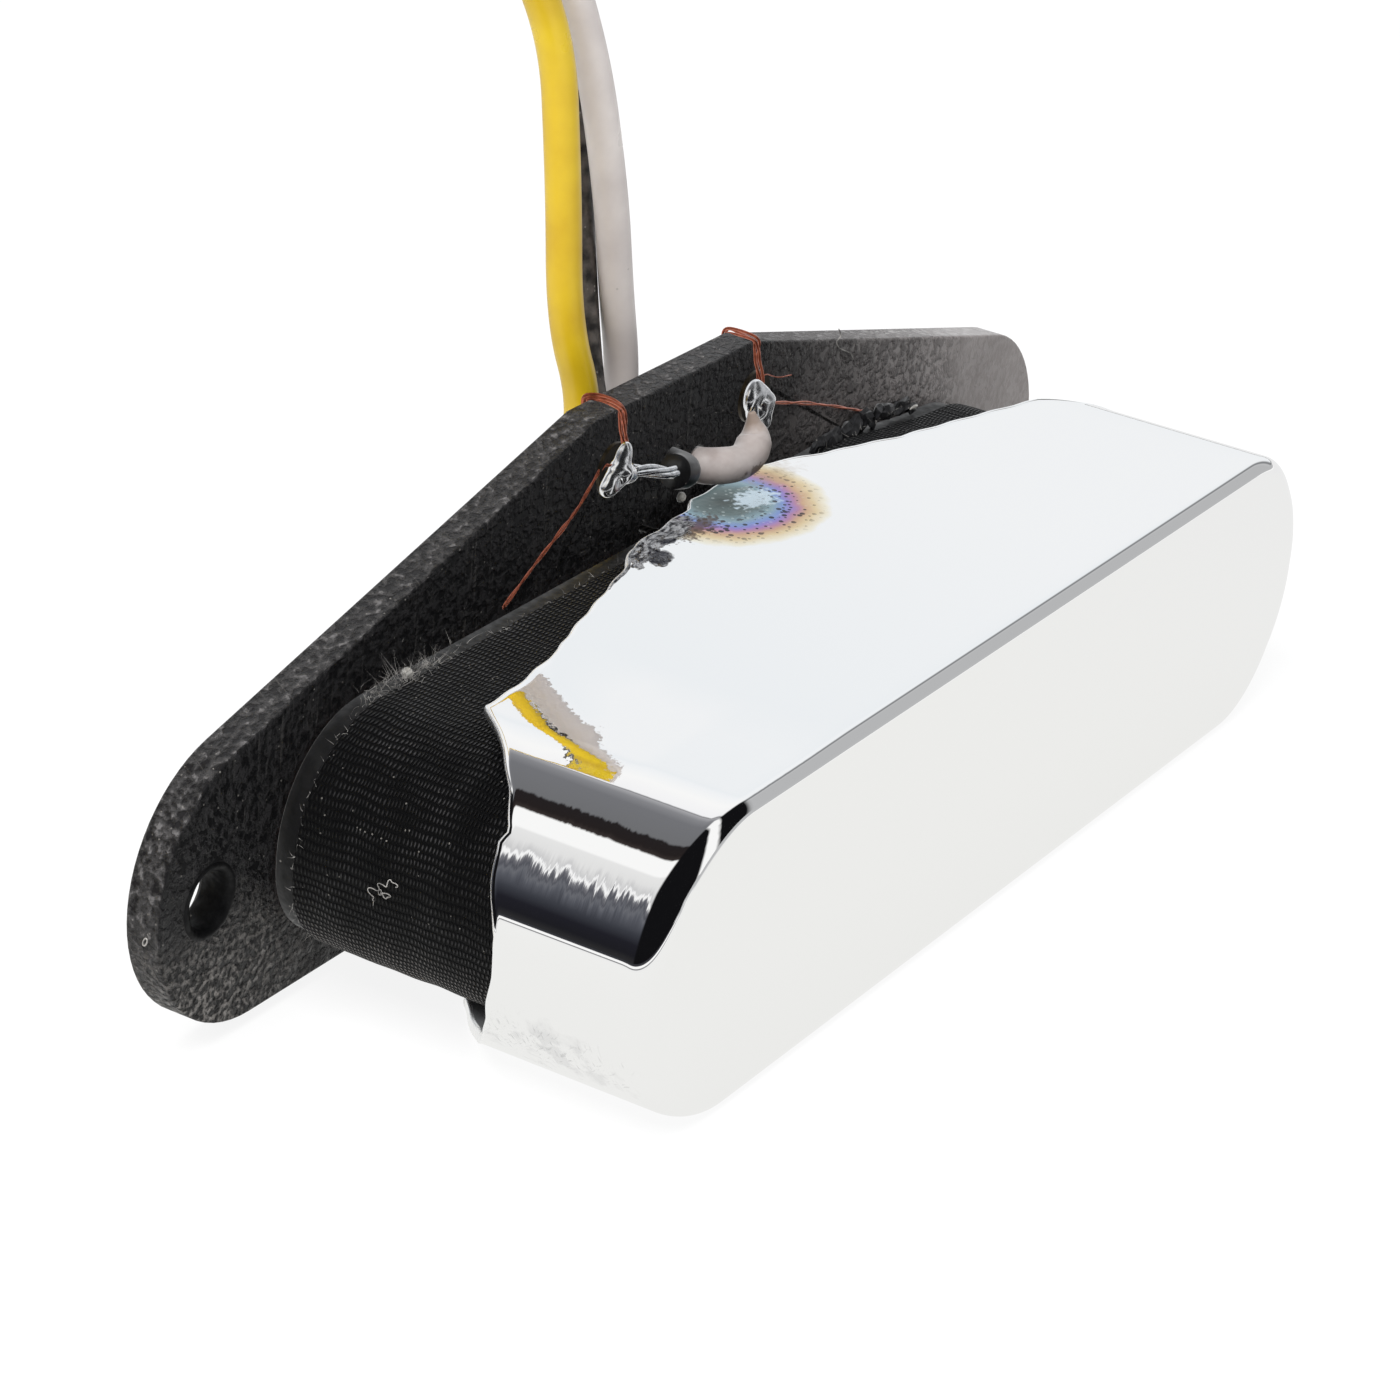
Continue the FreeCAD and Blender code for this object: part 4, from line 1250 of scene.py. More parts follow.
@dataclass
class Leads:
    """The yellow, black and white leads, each one cord from the plate to its tied loop and tinned tip."""

    diameter: float = 1.8
    loop_radius: float = 9.6
    loop_centre: tuple[float, float] = (-57.0, 9.4)
    loop_turn: float = 285.0
    straight: float = 1.8
    leads: tuple[Lead, ...] = (
        Lead("yellow", Look.YELLOW, 174.3, (
            (-2.2, 0, 7.025), (-2.2, 1.9, 7.025), (-1.4, 2.9, 8.8), (-0.7, 3.05, 12.0), (-2.2, 3.7, 16.4),
            (-2.35, 4.2, 23.2), (-3.2, 4.9, 32.6), (-9.7, 6.8, 40.6), (-19.8, 10.3, 45.6),
            (-30.6, 14.3, 43.8),
            (-38.6, 17.2, 36.2), (-42.4, 18.6, 25.6), (-43.1, 19.0, 15.4), (-43.0, 19.0, 7.4),
            (-43.0, 19.1, 0.9), (-45.6, 19.0, -3.7), (-50.2, 19.0, -6.4), (-55.2, 19.0, -6.4),
        )),
        Lead("black", Look.BLACK, 181.3, (
            (0.2, 0, 9.6), (0.2, 1.9, 9.6), (0.75, 3.6, 11.0), (1.35, 4.6, 13.6), (1.85, 5.5, 17.2),
            (2.45, 6.7, 22.8), (1.6, 7.5, 31.6), (-4.2, 9.0, 42.0), (-15.4, 11.8, 49.4), (-28.4, 15.0, 49.6),
            (-38.8, 17.6, 42.2), (-43.9, 18.8, 30.6), (-45.2, 19.0, 18.6), (-45.1, 19.0, 8.8),
            (-45.1, 19.1, 1.7), (-47.3, 19.0, -2.1), (-51.1, 19.0, -4.3), (-55.2, 19.0, -4.3),
        )),
        Lead("white", Look.WHITE, 183.0, (
            (2.6, 0, 8.9), (2.6, 1.9, 8.9), (3.0, 3.2, 10.4), (3.45, 3.6, 12.9), (2.85, 3.9, 16.6),
            (2.1, 4.2, 22.0), (0.2, 5.0, 30.4), (-4.4, 6.6, 40.2), (-13.6, 9.6, 49.8), (-26.6, 13.6, 53.0),
            (-38.6, 17.2, 47.2), (-45.3, 18.8, 35.6), (-47.3, 19.0, 22.4), (-47.2, 19.0, 9.6),
            (-47.2, 19.1, 2.6), (-49.0, 19.0, -0.4), (-52.0, 19.0, -2.2), (-55.2, 19.0, -2.2),
        )),
    )

    def loop_points(self, level: float) -> np.ndarray:
        """Points round the tied loop: centre + radius (-sin a, cos a), then a short straight end."""
        angles = np.radians(np.linspace(0, self.loop_turn, 16))
        turn_x = self.loop_centre[0] - self.loop_radius * np.sin(angles)
        turn_y = self.loop_centre[1] + self.loop_radius * np.cos(angles)
        places_x = np.append(turn_x, turn_x[-1] - self.straight * math.cos(angles[-1]))
        places_y = np.append(turn_y, turn_y[-1] - self.straight * math.sin(angles[-1]))
        return np.column_stack([places_x, places_y, np.full(len(places_x), level)])

    def build(self, wardrobe: Wardrobe) -> None:
        """Makes each lead as one smooth cord and dresses its tip."""
        for lead in self.leads:
            name = f"{lead.colour}_lead"
            points = np.vstack([lead.route, self.loop_points(lead.route[-1][2])])
            curve = bpy.data.curves.new(f"{name}_cord", "CURVE")
            curve.dimensions = "3D"
            curve.bevel_depth = self.diameter / 2
            curve.bevel_resolution = 8
            curve.resolution_u = 16
            curve.use_fill_caps = True
            spline = curve.splines.new("NURBS")
            spline.points.add(len(points) - 1)
            places = np.column_stack([points * MM, np.ones(len(points))])
            spline.points.foreach_set("co", places.reshape(-1))
            spline.points.foreach_set("radius", np.full(len(points), MM))
            spline.order_u = 3
            spline.use_endpoint_u = True
            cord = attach(add_object(f"{name}_cord", curve), "root")
            wardrobe.dress(lead.look, cord, name, f"{name}_loop")
            wardrobe.dress_nodes(Look.TINNED, f"{name}_tip")
            log.info("%s lead: %d points", lead.colour, len(points))


@dataclass
class CoverShell:
    """The chromed cover: one closed skin, snipped back by hand at its rear edge."""

    half_length: float = 33.25
    half_height: float = 7.75
    end_radius: float = 7.4
    depth: float = 22.6
    wall: float = 0.5
    fillet: float = 0.7
    end_fillet: float = 1.45
    inner_fillet: float = 0.6
    lip: float = 0.1
    burr: float = 0.05
    burr_reach: float = 0.7

    def rear_edge(self, outline: Outline) -> np.ndarray:
        """Where the hand-cut rear edge lies: the tongue by its place along X, each end by its angle.

        Args:
            outline: the cover's outline

        Returns:
            Y of the edge for each point of the outline.
        """
        along = [-25.9, -23.3, -18.6, -17.9, -15.0, -12.6, -10.4, -8.2, -6.9, -5.6, -3.6, -1.8, -0.2, 0.8]
        along += [4.6, 7.2, 8.9, 9.8, 11.1, 12.4, 15.9, 16.6, 20.9, 25.9]
        depth = [-8.35, -8.25, -7.5, -7.2, -6.4, -5.8, -5.2, -4.6, -3.85, -3.5, -3.45, -3.25, -3.15, -2.65]
        depth += [-2.6, -2.85, -3.45, -3.75, -4.5, -4.85, -6.25, -6.4, -7.6, -9.1]
        tongue = np.interp(outline.x, along, depth)
        angle = np.degrees(np.arctan2(outline.out_z, np.abs(outline.out_x) + 1e-9))
        key = [-90, -60, -37.8, -24.2, -12, -3, 6, 18, 31, 38, 42.5, 56, 70, 80, 90]
        cut = [-8.4, -11.6, -13.2, -13.8, -14.15, -14.35, -14.35, -13.8, -13.4, -13.2, -13.5, -12.5]
        cut += [-11.1, -9.8, -8.35]
        left = np.interp(angle, key, cut)
        right = np.interp(np.abs(angle), [0, 15, 35, 55, 75, 90], [-14.2, -14.1, -13.3, -12.4, -10.9, -9.1])
        ends = np.where(outline.out_x < 0, left, right)
        wobble = 0.05 * np.sin(outline.x * 2.3) + 0.04 * np.sin(angle * 0.31)
        return np.where(np.abs(outline.out_x) > 1e-6, ends, tongue) + wobble

    def build(self, wardrobe: Wardrobe) -> None:
        """Works out the skin from the inner face's middle, over the rear edge, to the outer face's middle.

        Each row of the grid has a radius and a depth: the wall keeps its radius while the depth runs from the
        rear edge to the face, a burr stands up beside the edge, the fillet turns through a quarter and is
        larger round the ends, and the face shrinks to the middle line.

        Args:
            wardrobe: the pickup's finishes
        """
        outer, lip = self.end_radius, self.lip
        outline = Outline(self.half_length - outer, self.half_height - outer, 150, 44)
        edge = self.rear_edge(outline)
        rounder = np.clip(np.abs(outline.out_x) * 1.3, 0, 1) ** 1.5
        fillet = self.fillet + (self.end_fillet - self.fillet) * rounder
        inner, inner_face = outer - self.wall, -self.depth + self.wall
        hollow = fillet * self.inner_fillet
        deep = inner_face + hollow
        rows = [(inner * share - 0.3 * share, inner_face, share) for share in (0.0, 0.35, 0.7, 0.93)]
        rows.append((inner - hollow, inner_face, 1.0))
        for turn in np.linspace(0.0, np.pi / 2, 5)[1:]:
            rows.append((inner - hollow * (1 - np.sin(turn)), deep - hollow * np.cos(turn), 1.0))
        for share in np.linspace(0.0, 1.0, 14)[1:] ** 0.8:
            rows.append((inner, deep + (edge - lip - deep) * share, 1.0))
        inner_rows = len(rows)
        for turn in np.linspace(0.0, np.pi, 9)[1:-1]:
            middle = (inner + outer) / 2
            rows.append((middle - self.wall / 2 * np.cos(turn), edge - lip + lip * np.sin(turn), 1.0))
        for back in (0.0, 0.03, 0.06, 0.1, 0.15, 0.2, 0.27, 0.36, 0.5, self.burr_reach):
            rise = self.burr * math.exp(-(((back - 0.06) / 0.1) ** 2))
            rows.append((outer + rise, edge - lip - back, 1.0))
        face_start = -self.depth + fillet
        wall_start = edge - lip - self.burr_reach
        for share in np.linspace(0.0, 1.0, 28)[1:] ** 1.1:
            rows.append((outer, wall_start + (face_start - wall_start) * share, 1.0))
        for turn in np.linspace(0.0, np.pi / 2, 13)[1:]:
            rows.append((outer - fillet * (1 - np.cos(turn)), face_start - fillet * np.sin(turn), 1.0))
        for share in (0.97, 0.9, 0.75, 0.5, 0.25, 0.0):
            rows.append(((outer - fillet) * share, -self.depth, share))
        grid = np.array([outline.layer(*row) for row in rows])
        sign = np.where(np.arange(len(rows)) < inner_rows, -1.0, 1.0)[:, None]
        across, from_edge = np.broadcast_to(outline.x, grid.shape[:2]), sign * (edge[None] - grid[..., 1])
        surface = np.stack([across, from_edge], axis=-1)
        cover = make_piece("chromed_cover", grid, uv=surface * MM)
        wardrobe.dress(Look.COVER, cover, "cover")
        log.info("cover: %d points", len(cover.data.vertices))


@dataclass(frozen=True)
class Band:
    """One wrap of the coil: its half heights outside and inside, its rear and front edge, swell and seed."""

    name: str
    look: Look
    node: str
    outer: float
    inner: float
    start: float
    end: float
    swell: float
    seed: Seed


@dataclass
class Coil:
    """The coil: enamelled winding, a smooth inner tape and the woven tape that shows."""

    half_flat: float = 0.35
    half_height: float = 6.8
    half_length: float = 32.65
    edge: float = 0.12
    sunk_below: float = 0.82
    droop: float = 0.2
    rear: float = -3.05
    bands: tuple[Band, ...] = (
        Band("woven_tape_wrap", Look.CLOTH, "coil_cloth_tape", 6.8, 6.46, -3.05, -20.5, 0.12, Seed.TAPE),
        Band(
            "smooth_tape_wrap", Look.SMOOTH_TAPE, "coil_inner_tape", 6.45, 6.16, -1.87, -20.5, 0.03,
            Seed.SMOOTH_TAPE,
        ),
        Band("wire_winding", Look.COPPER, "coil_winding", 6.15, 1.9, -1.91, -20.48, 0.05, Seed.WINDING),
    )

    @property
    def outline(self) -> Outline:
        """The tapes' outline."""
        return Outline(self.half_length - self.half_height + self.half_flat, self.half_flat, 120, 34)

    def wrap(self, band: Band) -> Piece:
        """Band round the coil: the outline at a radius that swells softly, closed over its two edges.

        Below the middle the height is drawn in by a fixed share, because the coil is wound lower there, and
        above it the height droops towards the right end.

        Args:
            band: what is wrapped

        Returns:
            The band, with a surface map of its length and depth in millimetres.
        """
        outline, edge, start, end = self.outline, self.edge, band.start, band.end
        radius, hollow = band.outer - self.half_flat, band.inner - self.half_flat
        level = np.linspace(start - edge, end + edge, 44)
        depth = np.concatenate([[start - edge * 0.3], level, [end + edge * 0.3]])
        flat = outline.layer(radius, 0.0)
        steps = np.hypot(np.diff(flat[:, 0]), np.diff(flat[:, 2]))
        around = np.concatenate([[0.0], np.cumsum(steps)])
        soft = ripple(around[None, :] / around[-1] * 6 * np.pi, (depth[:, None] - start) * 0.7, band.seed)
        drop = np.zeros(len(depth))
        drop[0] = drop[-1] = edge * 0.7
        height = radius - drop[:, None] - band.swell * (0.5 - 0.5 * soft)
        shoulder = height[20] - 0.18
        closing = ((shoulder, start), (shoulder, end), (hollow, end), (hollow, start))
        rings = [outline.layer(*row) for row in closing]
        grid = np.concatenate([rings[0][None], outline.layer(height, depth[:, None]), np.array(rings[1:])])
        share = np.clip((grid[..., 0] - 14.0) / 13.0, 0.0, 1.0)
        drooped = 1.0 - self.droop * share**2 * (3 - 2 * share)
        grid[..., 2] *= np.where(grid[..., 2] < 0, self.sunk_below, drooped)
        profile = np.concatenate([[0.0], start - depth, [start - end, start - end, 0.0]])
        uv = np.stack(np.broadcast_arrays(around[None, :], profile[:, None]), axis=-1)
        return make_piece(band.name, grid, wrap_rows=True, uv=uv)

    def edge_hairs(self) -> Piece:
        """Fuzz along the woven tape's edge, thicker in two tufts.

        Each hair is a thin curved blade: start + t heading + t squared droop, narrowing to its tip.

        Returns:
            The hairs as one piece.
        """
        random = np.random.default_rng(Seed.TAPE.value)
        count = 420
        outline = self.outline
        pick = random.integers(0, 120 + 66, count)
        tuft = random.random(count) < 0.5
        pick[tuft] = np.clip(random.normal(115, 4.0, tuft.sum()), 0, 150).astype(int)
        tufted, plain = random.normal(0.3, 0.3, count), random.normal(0.0, 0.14, count)
        back = self.rear + np.where(tuft, tufted, -np.abs(plain))
        start = outline.layer(self.half_height - self.half_flat - 0.03, 0.0)[pick]
        start[:, 1] = back
        start[:, 2] *= np.where(start[:, 2] < 0, self.sunk_below, 1.0)
        outward = np.stack([outline.out_x[pick], np.zeros(count), outline.out_z[pick]], axis=-1)
        heading = outward * random.uniform(0.15, 0.6, (count, 1)) + random.normal(0, 0.7, (count, 3))
        heading /= np.linalg.norm(heading, axis=1, keepdims=True)
        heading *= random.uniform(0.12, 0.4, (count, 1)) * np.where(tuft, 1.9, 1.0)[:, None]
        droop = random.normal(0, 0.12, (count, 3)) * np.where(tuft, 3.0, 1.0)[:, None]
        t = np.linspace(0, 1, 5)[None, :, None]
        line = start[:, None] + t * heading[:, None] + t**2 * droop[:, None]
        width = 0.018 * (1.05 - t)
        across = np.cross(heading, random.normal(0, 1, (count, 3)))
        across /= np.linalg.norm(across, axis=1, keepdims=True)
        third = np.cross(across, heading)
        third /= np.linalg.norm(third, axis=1, keepdims=True)
        corners = [across, -0.5 * across - 0.87 * third, -0.5 * across + 0.87 * third]
        ring = np.stack([line + width * corner[:, None] for corner in corners], axis=2)
        first = 15 * np.arange(count)[:, None, None]
        faces = (grid_faces(5, 3)[None] + first).reshape(-1, 4)
        caps = (np.array([[0, 2, 1], [12, 13, 14]])[None] + first).reshape(-1, 3)
        mesh = bpy.data.meshes.new("edge_hairs")
        mesh.from_pydata((ring.reshape(-1, 3) * MM).tolist(), [], faces.tolist() + caps.tolist())
        return finish_mesh("edge_hairs", mesh)

    def lint(self) -> Piece:
        """The fuzz, one curl on the tape's end, one hair on the plate and one ring on its left edge.

        Returns:
            All of it as one piece.
        """
        turn = np.linspace(0, 11.0, 120)
        grow = 0.3 + 0.16 * np.sin(turn * 2.3) + 0.1 * np.sin(turn * 5.1)
        curl_y = -8.5 + 0.07 * turn - grow * np.cos(turn)
        curl_z = 1.45 - 0.09 * turn + grow * np.sin(turn)
        curl = np.stack([-32.74 - 0.06 * np.sin(turn * 3), curl_y, curl_z], axis=-1)
        hair = [(16.02, -1.95, 12.55), (16.32, -1.95, 12.1), (15.92, -1.95, 11.85), (16.17, -1.95, 11.5)]
        hair += [(16.56, -1.95, 11.25), (17.15, -1.95, 10.97), (17.65, -1.93, 10.69), (18.05, -1.93, 10.25)]
        around = np.linspace(0, 2 * np.pi, 40)
        ring_y = -1.1 + 0.1 * np.cos(around) - 0.06 * np.sin(around)
        ring = np.stack([-40.62 + 0 * around, ring_y, -0.8 + 0.2 * np.sin(around)], axis=-1)
        parts = [
            self.edge_hairs(),
            tube_piece("lint_curl", curl, 0.024, 6, ALONG),
            tube_piece("lint_hair", smooth_line(hair, 90), 0.035, 6, (0.1, 1.0, 0.1)),
            tube_piece("lint_ring", ring, 0.04, 6, ALONG),
        ]
        return join_pieces("tape_edge_lint", parts)

    def crumpled_edge(self) -> Piece:
        """Crumpled tape on the coil's back edge at the right: a tube of few facets with a random radius.

        Returns:
            The tape.
        """
        random = np.random.default_rng(Seed.GLUE.value)
        count, sides = 30, 9
        places = [(13.0, -2.5, 6.5), (16.0, -2.45, 6.6), (19.0, -2.4, 6.6), (22.0, -2.35, 6.25)]
        places.append((25.5, -2.3, 5.6))
        line = smooth_line(places, count) + random.normal(0, 0.1, (count, 3)) * np.array([1.0, 0.5, 1.0])
        sideways, upwards = line_frames(line, SKEW)
        angle = np.linspace(0, 2 * np.pi, sides, endpoint=False)[None, :]
        closing = np.sqrt(np.clip(1 - np.abs(np.linspace(-1, 1, count)) ** 6, 0, 1))[:, None]
        radius = (0.2 + 0.45 * random.random((count, sides)) ** 1.6) * closing
        across, up = (0.55 * radius * np.cos(angle))[..., None], (radius * np.sin(angle))[..., None]
        grid = line[:, None] + across * sideways[:, None] + up * upwards[:, None]
        return make_piece("crumpled_tape", grid, smooth=False)

    def build(self, wardrobe: Wardrobe) -> None:
        """Makes the two tapes, the winding and the lint, and dresses them."""
        for band in self.bands:
            wardrobe.dress(band.look, self.wrap(band), band.node)
        wardrobe.dress(Look.LINT, self.lint(), mirrored=False)
        wardrobe.dress(Look.CRUMPLED, self.crumpled_edge())
        log.info("coil wrapped")


@dataclass
class BasePlate:
    """The black fibre plate with its two screw holes, and the front plate inside the cover."""

    edge_break: float = 0.14
    hole_x: float = 37.0
    hole_radius: float = 1.6
    thickness: float = 1.85

    def hole_burr(self, x: float, name: str, seed: Seed) -> Piece:
        """Torn fibre inside a screw hole: a ring whose inner radius and lips waver with a seeded ripple.

        Args:
            x: where the hole is
            name: the piece's name
            seed: picks the wavering

        Returns:
            The ring.
        """
        turn = np.linspace(0, 2 * np.pi, 72, endpoint=False)
        waver = ripple(turn * 3, turn * 0 + 1.3, seed, 7)
        inward = 0.2 + 0.16 * waver + 0.14 * np.clip(-np.cos(turn), 0, 1)
        outer, back = self.hole_radius + 0.02, -self.thickness
        rows = [
            (outer, -0.1),
            (outer - inward * 0.7, -0.25 + 0.05 * waver),
            (outer - inward, -0.7),
            (outer - inward, -1.3),
            (outer - inward * 0.8, back + 0.1),
            (outer + 0.04, back - 0.05 - 0.03 * waver),
            (outer + 0.22, back - 0.03 - 0.02 * waver),
            (outer + 0.3, back + 0.05),
        ]
        rings = [np.broadcast_arrays(x + r * np.cos(turn), depth, r * np.sin(turn)) for r, depth in rows]
        return make_piece(name, np.stack([np.stack(ring, axis=-1) for ring in rings]), wrap_rows=True)

    def build(self, wardrobe: Wardrobe) -> None:
        """Makes the plate from the CAD plate with its edges broken, and the burrs in its holes."""
        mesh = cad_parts["base_plate"].data.copy()
        mesh.name = "fibre_base_plate"
        plate = finish_mesh("fibre_base_plate", mesh, smooth=False, gap=1e-6, sliver=0.0)
        bevel = plate.modifiers.new("broken edges", "BEVEL")
        bevel.width = self.edge_break * MM
        bevel.segments = 3
        bevel.limit_method = "ANGLE"
        bevel.angle_limit = math.radians(40)
        wardrobe.dress(Look.FIBRE, plate, "base_plate", mirrored=False)
        wardrobe.dress(Look.SHADED_HOLE_FIBRE, self.hole_burr(-self.hole_x, "left_hole_burr", Seed.LEFT))
        wardrobe.dress(Look.SHADED_HOLE_FIBRE, self.hole_burr(self.hole_x, "right_hole_burr", Seed.RIGHT))
        wardrobe.dress_nodes(Look.FIBRE, "front_plate")
        log.info("base plate made")


@dataclass(frozen=True)
class Terminal:
    """One terminal: its solder's middle, half sizes and lobes, its wrap over the edge and its coil wire."""

    side: str
    centre: Point
    size: Point
    lobes: tuple[tuple[Point, float, float], ...]
    strands: int
    wrap: list[Point]
    lead: list[Point]
    seed: Seed
    lead_seed: Seed


class Terminals:
    """Eyelets, their solder, the copper wraps over the plate's top edge and the single coil wires."""

    roughness = 0.07
    wire = 0.075
    single = Twist(2, 0.04, 4.0, 0.055, ACROSS)
    hair = Twist(1, 0.0, 0.0, 0.03, ACROSS)
    terminals = (
        Terminal(
            "left",
            (-5.9, -2.45, 11.25),
            (0.72, 0.55, 0.72),
            (
                ((0.25, -0.05, 1.0), 0.85, 10.0), ((1.0, -0.1, -0.4), 0.75, 9.0),
                ((-0.9, 0.0, -0.5), 0.9, 7.0),
                ((-0.75, -0.7, -0.35), -0.34, 26.0), ((0.1, -1.0, 0.1), 0.12, 12.0),
            ),
            4,
            [
                (-5.3, 0.15, 12.6), (-5.3, 0.2, 13.5), (-5.35, 0.14, 14.3), (-5.1, -0.8, 14.4),
                (-5.42, -1.88, 14.37),
                (-5.45, -2.1, 13.9), (-5.32, -2.12, 13.1), (-5.35, -2.35, 12.4), (-5.5, -2.5, 11.8),
            ],
            [
                (-6.3, -2.2, 11.7), (-6.9, -2.02, 11.6), (-8.7, -1.99, 10.2), (-10.25, -1.97, 9.27),
                (-12.6, -1.97, 8.1), (-14.9, -2.0, 6.9),
            ],
            Seed.LEFT,
            Seed.LEFT_LEAD,
        ),
        Terminal(
            "right",
            (7.3, -2.45, 10.95),
            (0.95, 0.62, 0.98),
            (
                ((-0.45, 0.1, 1.15), 0.55, 7.0), ((0.45, -0.1, -1.0), 0.6, 6.0),
                ((-1.0, -0.1, 0.45), 0.6, 9.0),
                ((-0.7, -0.75, -0.05), -0.5, 14.0), ((0.5, -0.8, 0.2), 0.15, 8.0),
            ),
            3,
            [
                (8.0, 0.15, 12.5), (7.9, 0.2, 13.3), (7.75, 0.13, 14.12), (7.65, -0.5, 14.3),
                (7.25, -1.88, 14.37),
                (7.28, -2.1, 13.9), (7.32, -2.12, 13.2), (7.3, -2.35, 12.4), (7.2, -2.5, 11.8),
            ],
            [
                (8.3, -2.2, 10.8), (10.0, -1.99, 10.15), (13.3, -1.97, 9.14), (16.05, -1.97, 8.2),
                (19.2, -1.97, 7.0), (20.2, -2.0, 6.65),
            ],
            Seed.RIGHT,
            Seed.RIGHT_LEAD,
        ),
    )

    def build(self, wardrobe: Wardrobe) -> None:
        """Makes the solder and wires, and dresses the eyelets."""
        for one in self.terminals:
            side = one.side
            solder = f"{side}_solder_drop"
            drop = drop_piece(solder, one.centre, one.size, one.seed, self.roughness, one.lobes)
            turns = Twist(one.strands, 0.13, 0.9, self.wire, ALONG)
            wrap = turns.build(f"{side}_wrap_strands", one.wrap, 90, one.seed)
            lead = self.single.build(f"{side}_coil_lead", one.lead, 90, one.lead_seed)
            wardrobe.dress(Look.SOLDER, drop, f"{side}_solder", mirrored=False)
            wardrobe.dress(Look.COPPER, wrap, f"{side}_wire_wrap", mirrored=False)
            wardrobe.dress(Look.COPPER, lead, f"{side}_coil_wire", mirrored=False)
            wardrobe.dress(Look.BRASS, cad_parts[f"{side}_eyelet"], mirrored=False)
        loose = [(7.55, -2.1, 12.1), (8.2, -2.2, 12.25), (9.4, -2.3, 11.85), (10.6, -2.4, 11.6)]
        wardrobe.dress(Look.COPPER, self.hair.build("loose_copper_hair", loose, 90, Seed.HAIR))
        log.info("terminals soldered")


@dataclass
class LeadEnds:
    """The white and black leads' ends in front of the plate, with their bare strands, and the ground wire."""

    radius: float = 0.9
    black_radius: float = 0.88
    black_twist: Twist = Twist(4, 0.2, 0.45, 0.14, (0.05, 0.3, 1.0), 12)
    white_twist: Twist = Twist(3, 0.16, 0.3, 0.13, ALONG, 10, 2.1)
    ground_twist: Twist = Twist(3, 0.09, 9.0, 0.1, RISING, 8, 2.1)

    def build(self, wardrobe: Wardrobe) -> None:
        """Makes the ends as bent tubes and the strands as twisted wires."""
        white_line = [
            (2.6, -1.6, 8.9), (2.65, -2.3, 8.95), (3.3, -2.95, 8.95), (4.3, -3.2, 8.85), (5.2, -3.25, 8.95),
            (5.85, -3.15, 9.3), (6.2, -3.0, 9.8), (6.2, -2.85, 10.4), (6.1, -2.75, 11.0),
        ]
        place = np.linspace(0, 1, 80)
        taper = np.interp(place, [0, 0.45, 0.58, 0.68, 0.77, 0.88, 1], [1, 1.03, 1.08, 1.02, 0.78, 0.44, 0.2])
        girth = self.radius * (1 + 0.04 * np.sin(place * 9)) * taper
        white = tube_piece("white_lead_stub", smooth_line(white_line, 80), girth, 40, RISING)
        black_line = [
            (0.2, -1.6, 9.6), (0.15, -2.2, 9.6), (-0.2, -2.7, 9.7), (-0.8, -2.9, 9.85), (-1.5, -2.95, 10.1),
        ]
        black = tube_piece("black_lead_stub", smooth_line(black_line, 40), self.black_radius, 36, RISING)
        bare_line = [(-1.1, -2.93, 9.95), (-2.3, -2.95, 10.3), (-3.6, -2.8, 10.75), (-4.9, -2.6, 11.1)]
        tip_line = [(6.4, -2.9, 10.2), (6.3, -2.75, 10.8), (6.6, -2.6, 11.3)]
        ground_line = [(-2.2, 0.0, 7.025), (-2.2, -3.0, 7.025), (0.4, -5.3, 7.025), (2.8, -5.9, 7.025)]
        bare = self.black_twist.build("black_lead_twist", bare_line, 60)
        tip = self.white_twist.build("white_lead_twist", tip_line, 24)
        ground = self.ground_twist.build("ground_wire_twist", ground_line, 90)
        wardrobe.dress(Look.STUB, white, "white_lead_end", mirrored=False)
        wardrobe.dress(Look.BLACK_END, black, "black_lead_end", mirrored=False)
        wardrobe.dress(Look.TINNED, bare, "black_lead_strands", mirrored=False)
        wardrobe.dress(Look.TINNED, tip, "white_lead_strands", mirrored=False)
        # The ground wire is painted near black as painted shade under the cover's tongue.
        wardrobe.dress(Look.SHADED_TINNED_WIRE, ground, "ground_wire")
        pool = drop_piece("ground_solder_pool", (2.8, -5.9, 7.06), (1.58, 1.55, 0.2), Seed.RIGHT, 0.12)
        wardrobe.dress(Look.SOLDER, pool, "cover_ground_solder")
        drops = (
            ("glue_drop_on_tape", (-23.6, -2.6, 6.72), (0.3, 0.28, 0.26)),
            ("fleck_on_crumple", (23.6, -3.0, 6.2), (0.42, 0.1, 0.09)),
            ("glue_drop_on_plate", (1.05, -2.0, 7.64), (0.3, 0.22, 0.26)),
        )
        for name, centre, size in drops:
            wardrobe.dress(Look.GLUE, drop_piece(name, centre, size, Seed.GLUE, 0.25))
        log.info("lead ends made")


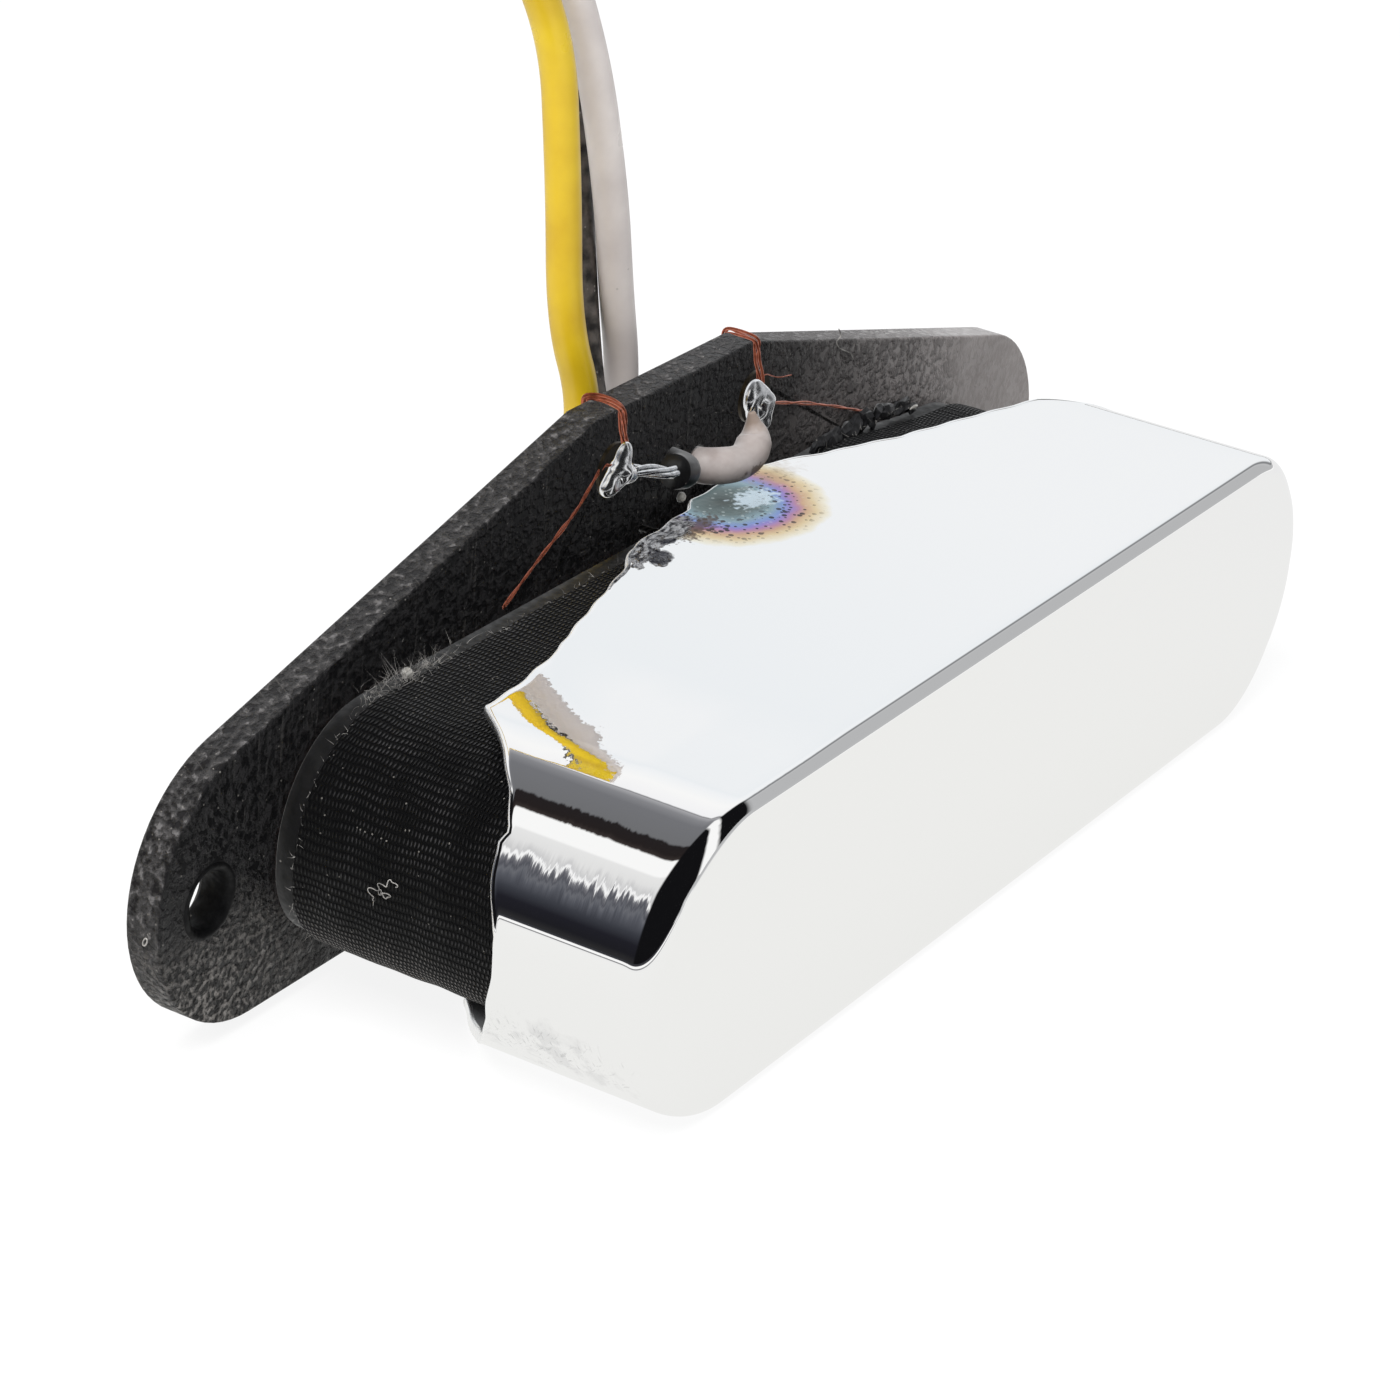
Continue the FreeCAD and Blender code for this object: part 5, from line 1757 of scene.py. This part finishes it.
@dataclass
class InnerParts:
    """Nodes inside the cover that keep their CAD shape, and the tie round the leads' loops."""

    tie_place: tuple[float, float] = (-66.6, 9.4)
    tie_levels: tuple[float, float] = (-6.4, -2.2)
    tie_inner: float = 1.1
    tie_outer: float = 1.35
    tie_width: float = 2.5

    def tie_band(self) -> Piece:
        """Band of tape round the three leads: a long ring with a rounded section and a lapped, wavy skin.

        Returns:
            The band.
        """
        turn = np.linspace(0, 2 * np.pi, 96, endpoint=False)
        section = np.linspace(0, 2 * np.pi, 28, endpoint=False)[:, None]
        low, high = self.tie_levels
        centre_z = np.where(np.sin(turn) >= 0, high, low)
        middle, half = (self.tie_outer + self.tie_inner) / 2, (self.tie_outer - self.tie_inner) / 2
        lap = 0.05 * (np.sin(turn[None, :] * 0.5 + 0.4) > 0.9)
        lap = lap + 0.02 * ripple(turn[None, :], section, Seed.TIE)
        thick = np.sign(np.cos(section)) * np.abs(np.cos(section)) ** 0.4
        wide = np.sign(np.sin(section)) * np.abs(np.sin(section)) ** 0.4
        radius = middle + half * thick * (0.9 - lap)
        across = self.tie_width / 2 * wide * (1 - 0.03 * ripple(turn[None, :], section * 0, Seed.TIE_EDGE))
        x = self.tie_place[0] + radius * np.cos(turn)
        z = centre_z + radius * np.sin(turn)
        grid = np.stack([x, self.tie_place[1] + across, z], axis=-1)
        return make_piece("tie_band_wrap", grid, wrap_rows=True)

    def build(self, wardrobe: Wardrobe) -> None:
        """Gives each its finish."""
        wardrobe.dress_nodes(Look.MAGNET, *(f"pole_magnet_{number}" for number in range(1, 7)))
        wardrobe.dress_nodes(Look.WAX, "core_wax")
        wardrobe.dress(Look.TIE, self.tie_band(), "lead_tie")
        log.info("inner parts dressed")


def main() -> None:
    """Builds the pickup, class by class, and its studio."""
    logging.basicConfig(level=logging.INFO, format="%(name)s: %(message)s")
    Studio().build()
    wardrobe = Wardrobe()
    for maker in (Leads(), CoverShell(), BasePlate(), Coil(), Terminals(), LeadEnds(), InnerParts()):
        maker.build(wardrobe)


if __name__ == "__main__":
    main()
